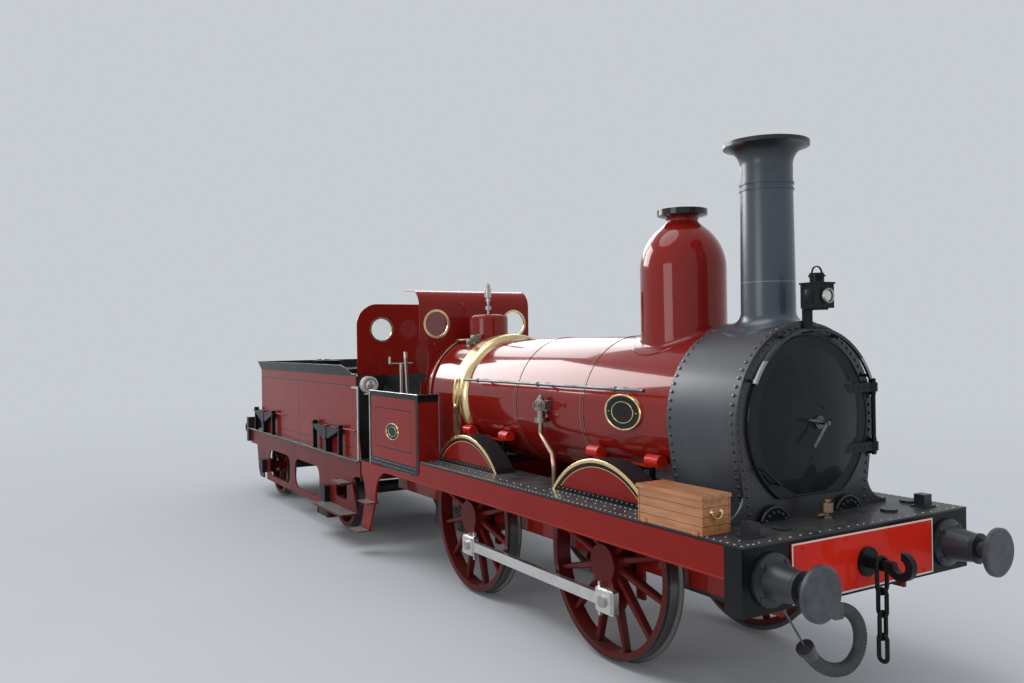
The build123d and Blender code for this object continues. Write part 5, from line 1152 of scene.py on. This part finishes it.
work.done("front_lamp_fittings", "engine", "black")

# %% [markdown]
# The buffers' castings are bolted to the beam by four nuts each, with a turned collar where the ram comes
# out. The beam's panel is held by a few large rivets in its own red.

# %% Buffer and beam fittings
BUFFER_Y, BUFFER_Z = 0.87, 1.038
for end, body, face, way in (("front", "engine", BEAM_X, 1), ("rear", "tender", -BEAM_X, -1)):
    work = Work()
    for side in SIDES:
        y = side * BUFFER_Y
        for angle in (45, 135, 225, 315):
            nut = (face + way * 0.022, *polar((y, BUFFER_Z), 0.142, angle))
            work.turned(((0, 0.024), (0.014, 0.024), (0.018, 0.018), (0.018, 0)), nut, (way, 0, 0), 6)
        collar = ((0.225, 0.095), (0.232, 0.104), (0.246, 0.104), (0.25, 0.066))
        section = [(face + way * x, y, BUFFER_Z + radius) for x, radius in collar]
        work.strip(section, (face, y, BUFFER_Z), AHEAD, 360, 40)
    work.done(end + "_buffer_fittings", body, "smoke_black")

work = Work()
beam_low, beam_high = low_of["beam_panel"], high_of["beam_panel"]
spots = []
for z in (beam_low.z + 0.03, beam_high.z - 0.03):
    spots += row((beam_high.x, -0.60, z), (beam_high.x, -0.20, z), 0.2, AHEAD)
work.studs(both(spots), 0.015, 0.7)
work.done("beam_panel_rivets", "engine", "signal_red")

# %% [markdown]
# The brake hose is held at both ends, so it is a rigid loop in the model. What it lacks is its ribs: rings
# of rubber moulded round it. The loop is three arcs in one upright plane, each with a radius and a sweep,
# and a ring is set across it every two centimetres.

# %% Hose ribs
HOSE_START, HOSE_ARCS, RIB_PITCH = (-0.340, 0.780), ((0.212, -85), (0.170, -96), (0.380, -48)), 0.021
RIB = ((0.0385, -0.007), (0.0435, -0.003), (0.0435, 0.003), (0.0385, 0.007))
work = Work()
hose_x = (low_of["vacuum_hose"].x + high_of["vacuum_hose"].x) / 2
place, heading = Vector(HOSE_START), 0.0
for radius, sweep in HOSE_ARCS:
    hub = Vector(polar(place, radius, heading - 90))
    count = round(abs(math.radians(sweep)) * radius / RIB_PITCH)
    for i in range(count):
        angle = heading + sweep * (i + 0.5) / count
        work.turned(RIB, (hose_x, *polar(hub, radius, angle + 90)), (0, *polar((0, 0), 1, angle)), 20)
    heading += sweep
    place = Vector(polar(hub, radius, heading + 90))
work.done("hose_ribs", "engine", "rubber")

# %% [markdown]
# Each tender spring carries a long crimson top leaf that reaches forward past its hangers. A leaf is flat
# bar with broken edges. The eyes at its hangers are turned, and a block clamps the leaves over the axle.

# %% Tender springs' long leaves and eyes
SPRING_Y, CLAMP_FOOT = 1.05, 1.063
spring_top = high_of["tender_springs"].z
EYE = ((0, 0.036), (0.028, 0.036), (0.034, 0.03), (0.034, -0.03), (0.028, -0.036), (0, -0.036))
leaves, eyes = Work(), Work()
for wheels in ("tender_front_wheels", "tender_rear_wheels"):
    axle = middle_of(wheels)[0]
    for side in SIDES:
        leaves.block((axle + 0.32, side * 1.028, spring_top - 0.006), (1.42, 0.032, 0.014), 0.003)
        for end in (-0.52, 0.52):
            eyes.turned(EYE, (axle + end, side * SPRING_Y, spring_top + 0.004), (0, 1, 0), 20)
        eyes.block((axle, side * SPRING_Y, (CLAMP_FOOT + spring_top) / 2), (0.13, 0.09, 0.05), 0.006)
leaves.done("tender_long_leaves", "tender", "crimson")
eyes.done("tender_spring_eyes", "tender", "black")

# %% [markdown]
# A small black box hangs under the rear half of the tender's long step, held by a strap at each end.

# %% Box under the tender's step
BOX_X, BOX_Y, BOX_Z = -1.45, 1.145, 0.322
work = Work()
for side in SIDES:
    work.block((BOX_X, side * BOX_Y, BOX_Z), (0.46, 0.15, 0.104), 0.005)
    for x in (BOX_X - 0.18, BOX_X + 0.18):
        work.block((x, side * BOX_Y, BOX_Z), (0.030, 0.158, 0.112), 0.003)
work.done("tender_step_boxes", "tender", "black")

# %% [markdown]
# The tank's coping ends in a rolled bead, black like the coping. It runs along each side, across the rear
# and down the dip at the front.

# %% Coping bead
COPING_Y, COPING_Z, COPING_BEAD = 1.045, 2.218, 0.009
coping_back = low_of["tender_coping"].x
DIP = [(-1.16, COPING_Y, COPING_Z), (-1.04, 1.034, 2.188), (-0.865, 1.009, 2.112), (-0.735, 1.005, 2.106)]
work = Work()
for side in SIDES:
    edge = [(x, side * y, z) for x, y, z in [(coping_back, COPING_Y, COPING_Z)] + DIP]
    work.run(edge, COPING_BEAD, 10)
work.rod((coping_back, -COPING_Y, COPING_Z), (coping_back, COPING_Y, COPING_Z), COPING_BEAD, 10)
work.done("coping_bead", "tender", "black")
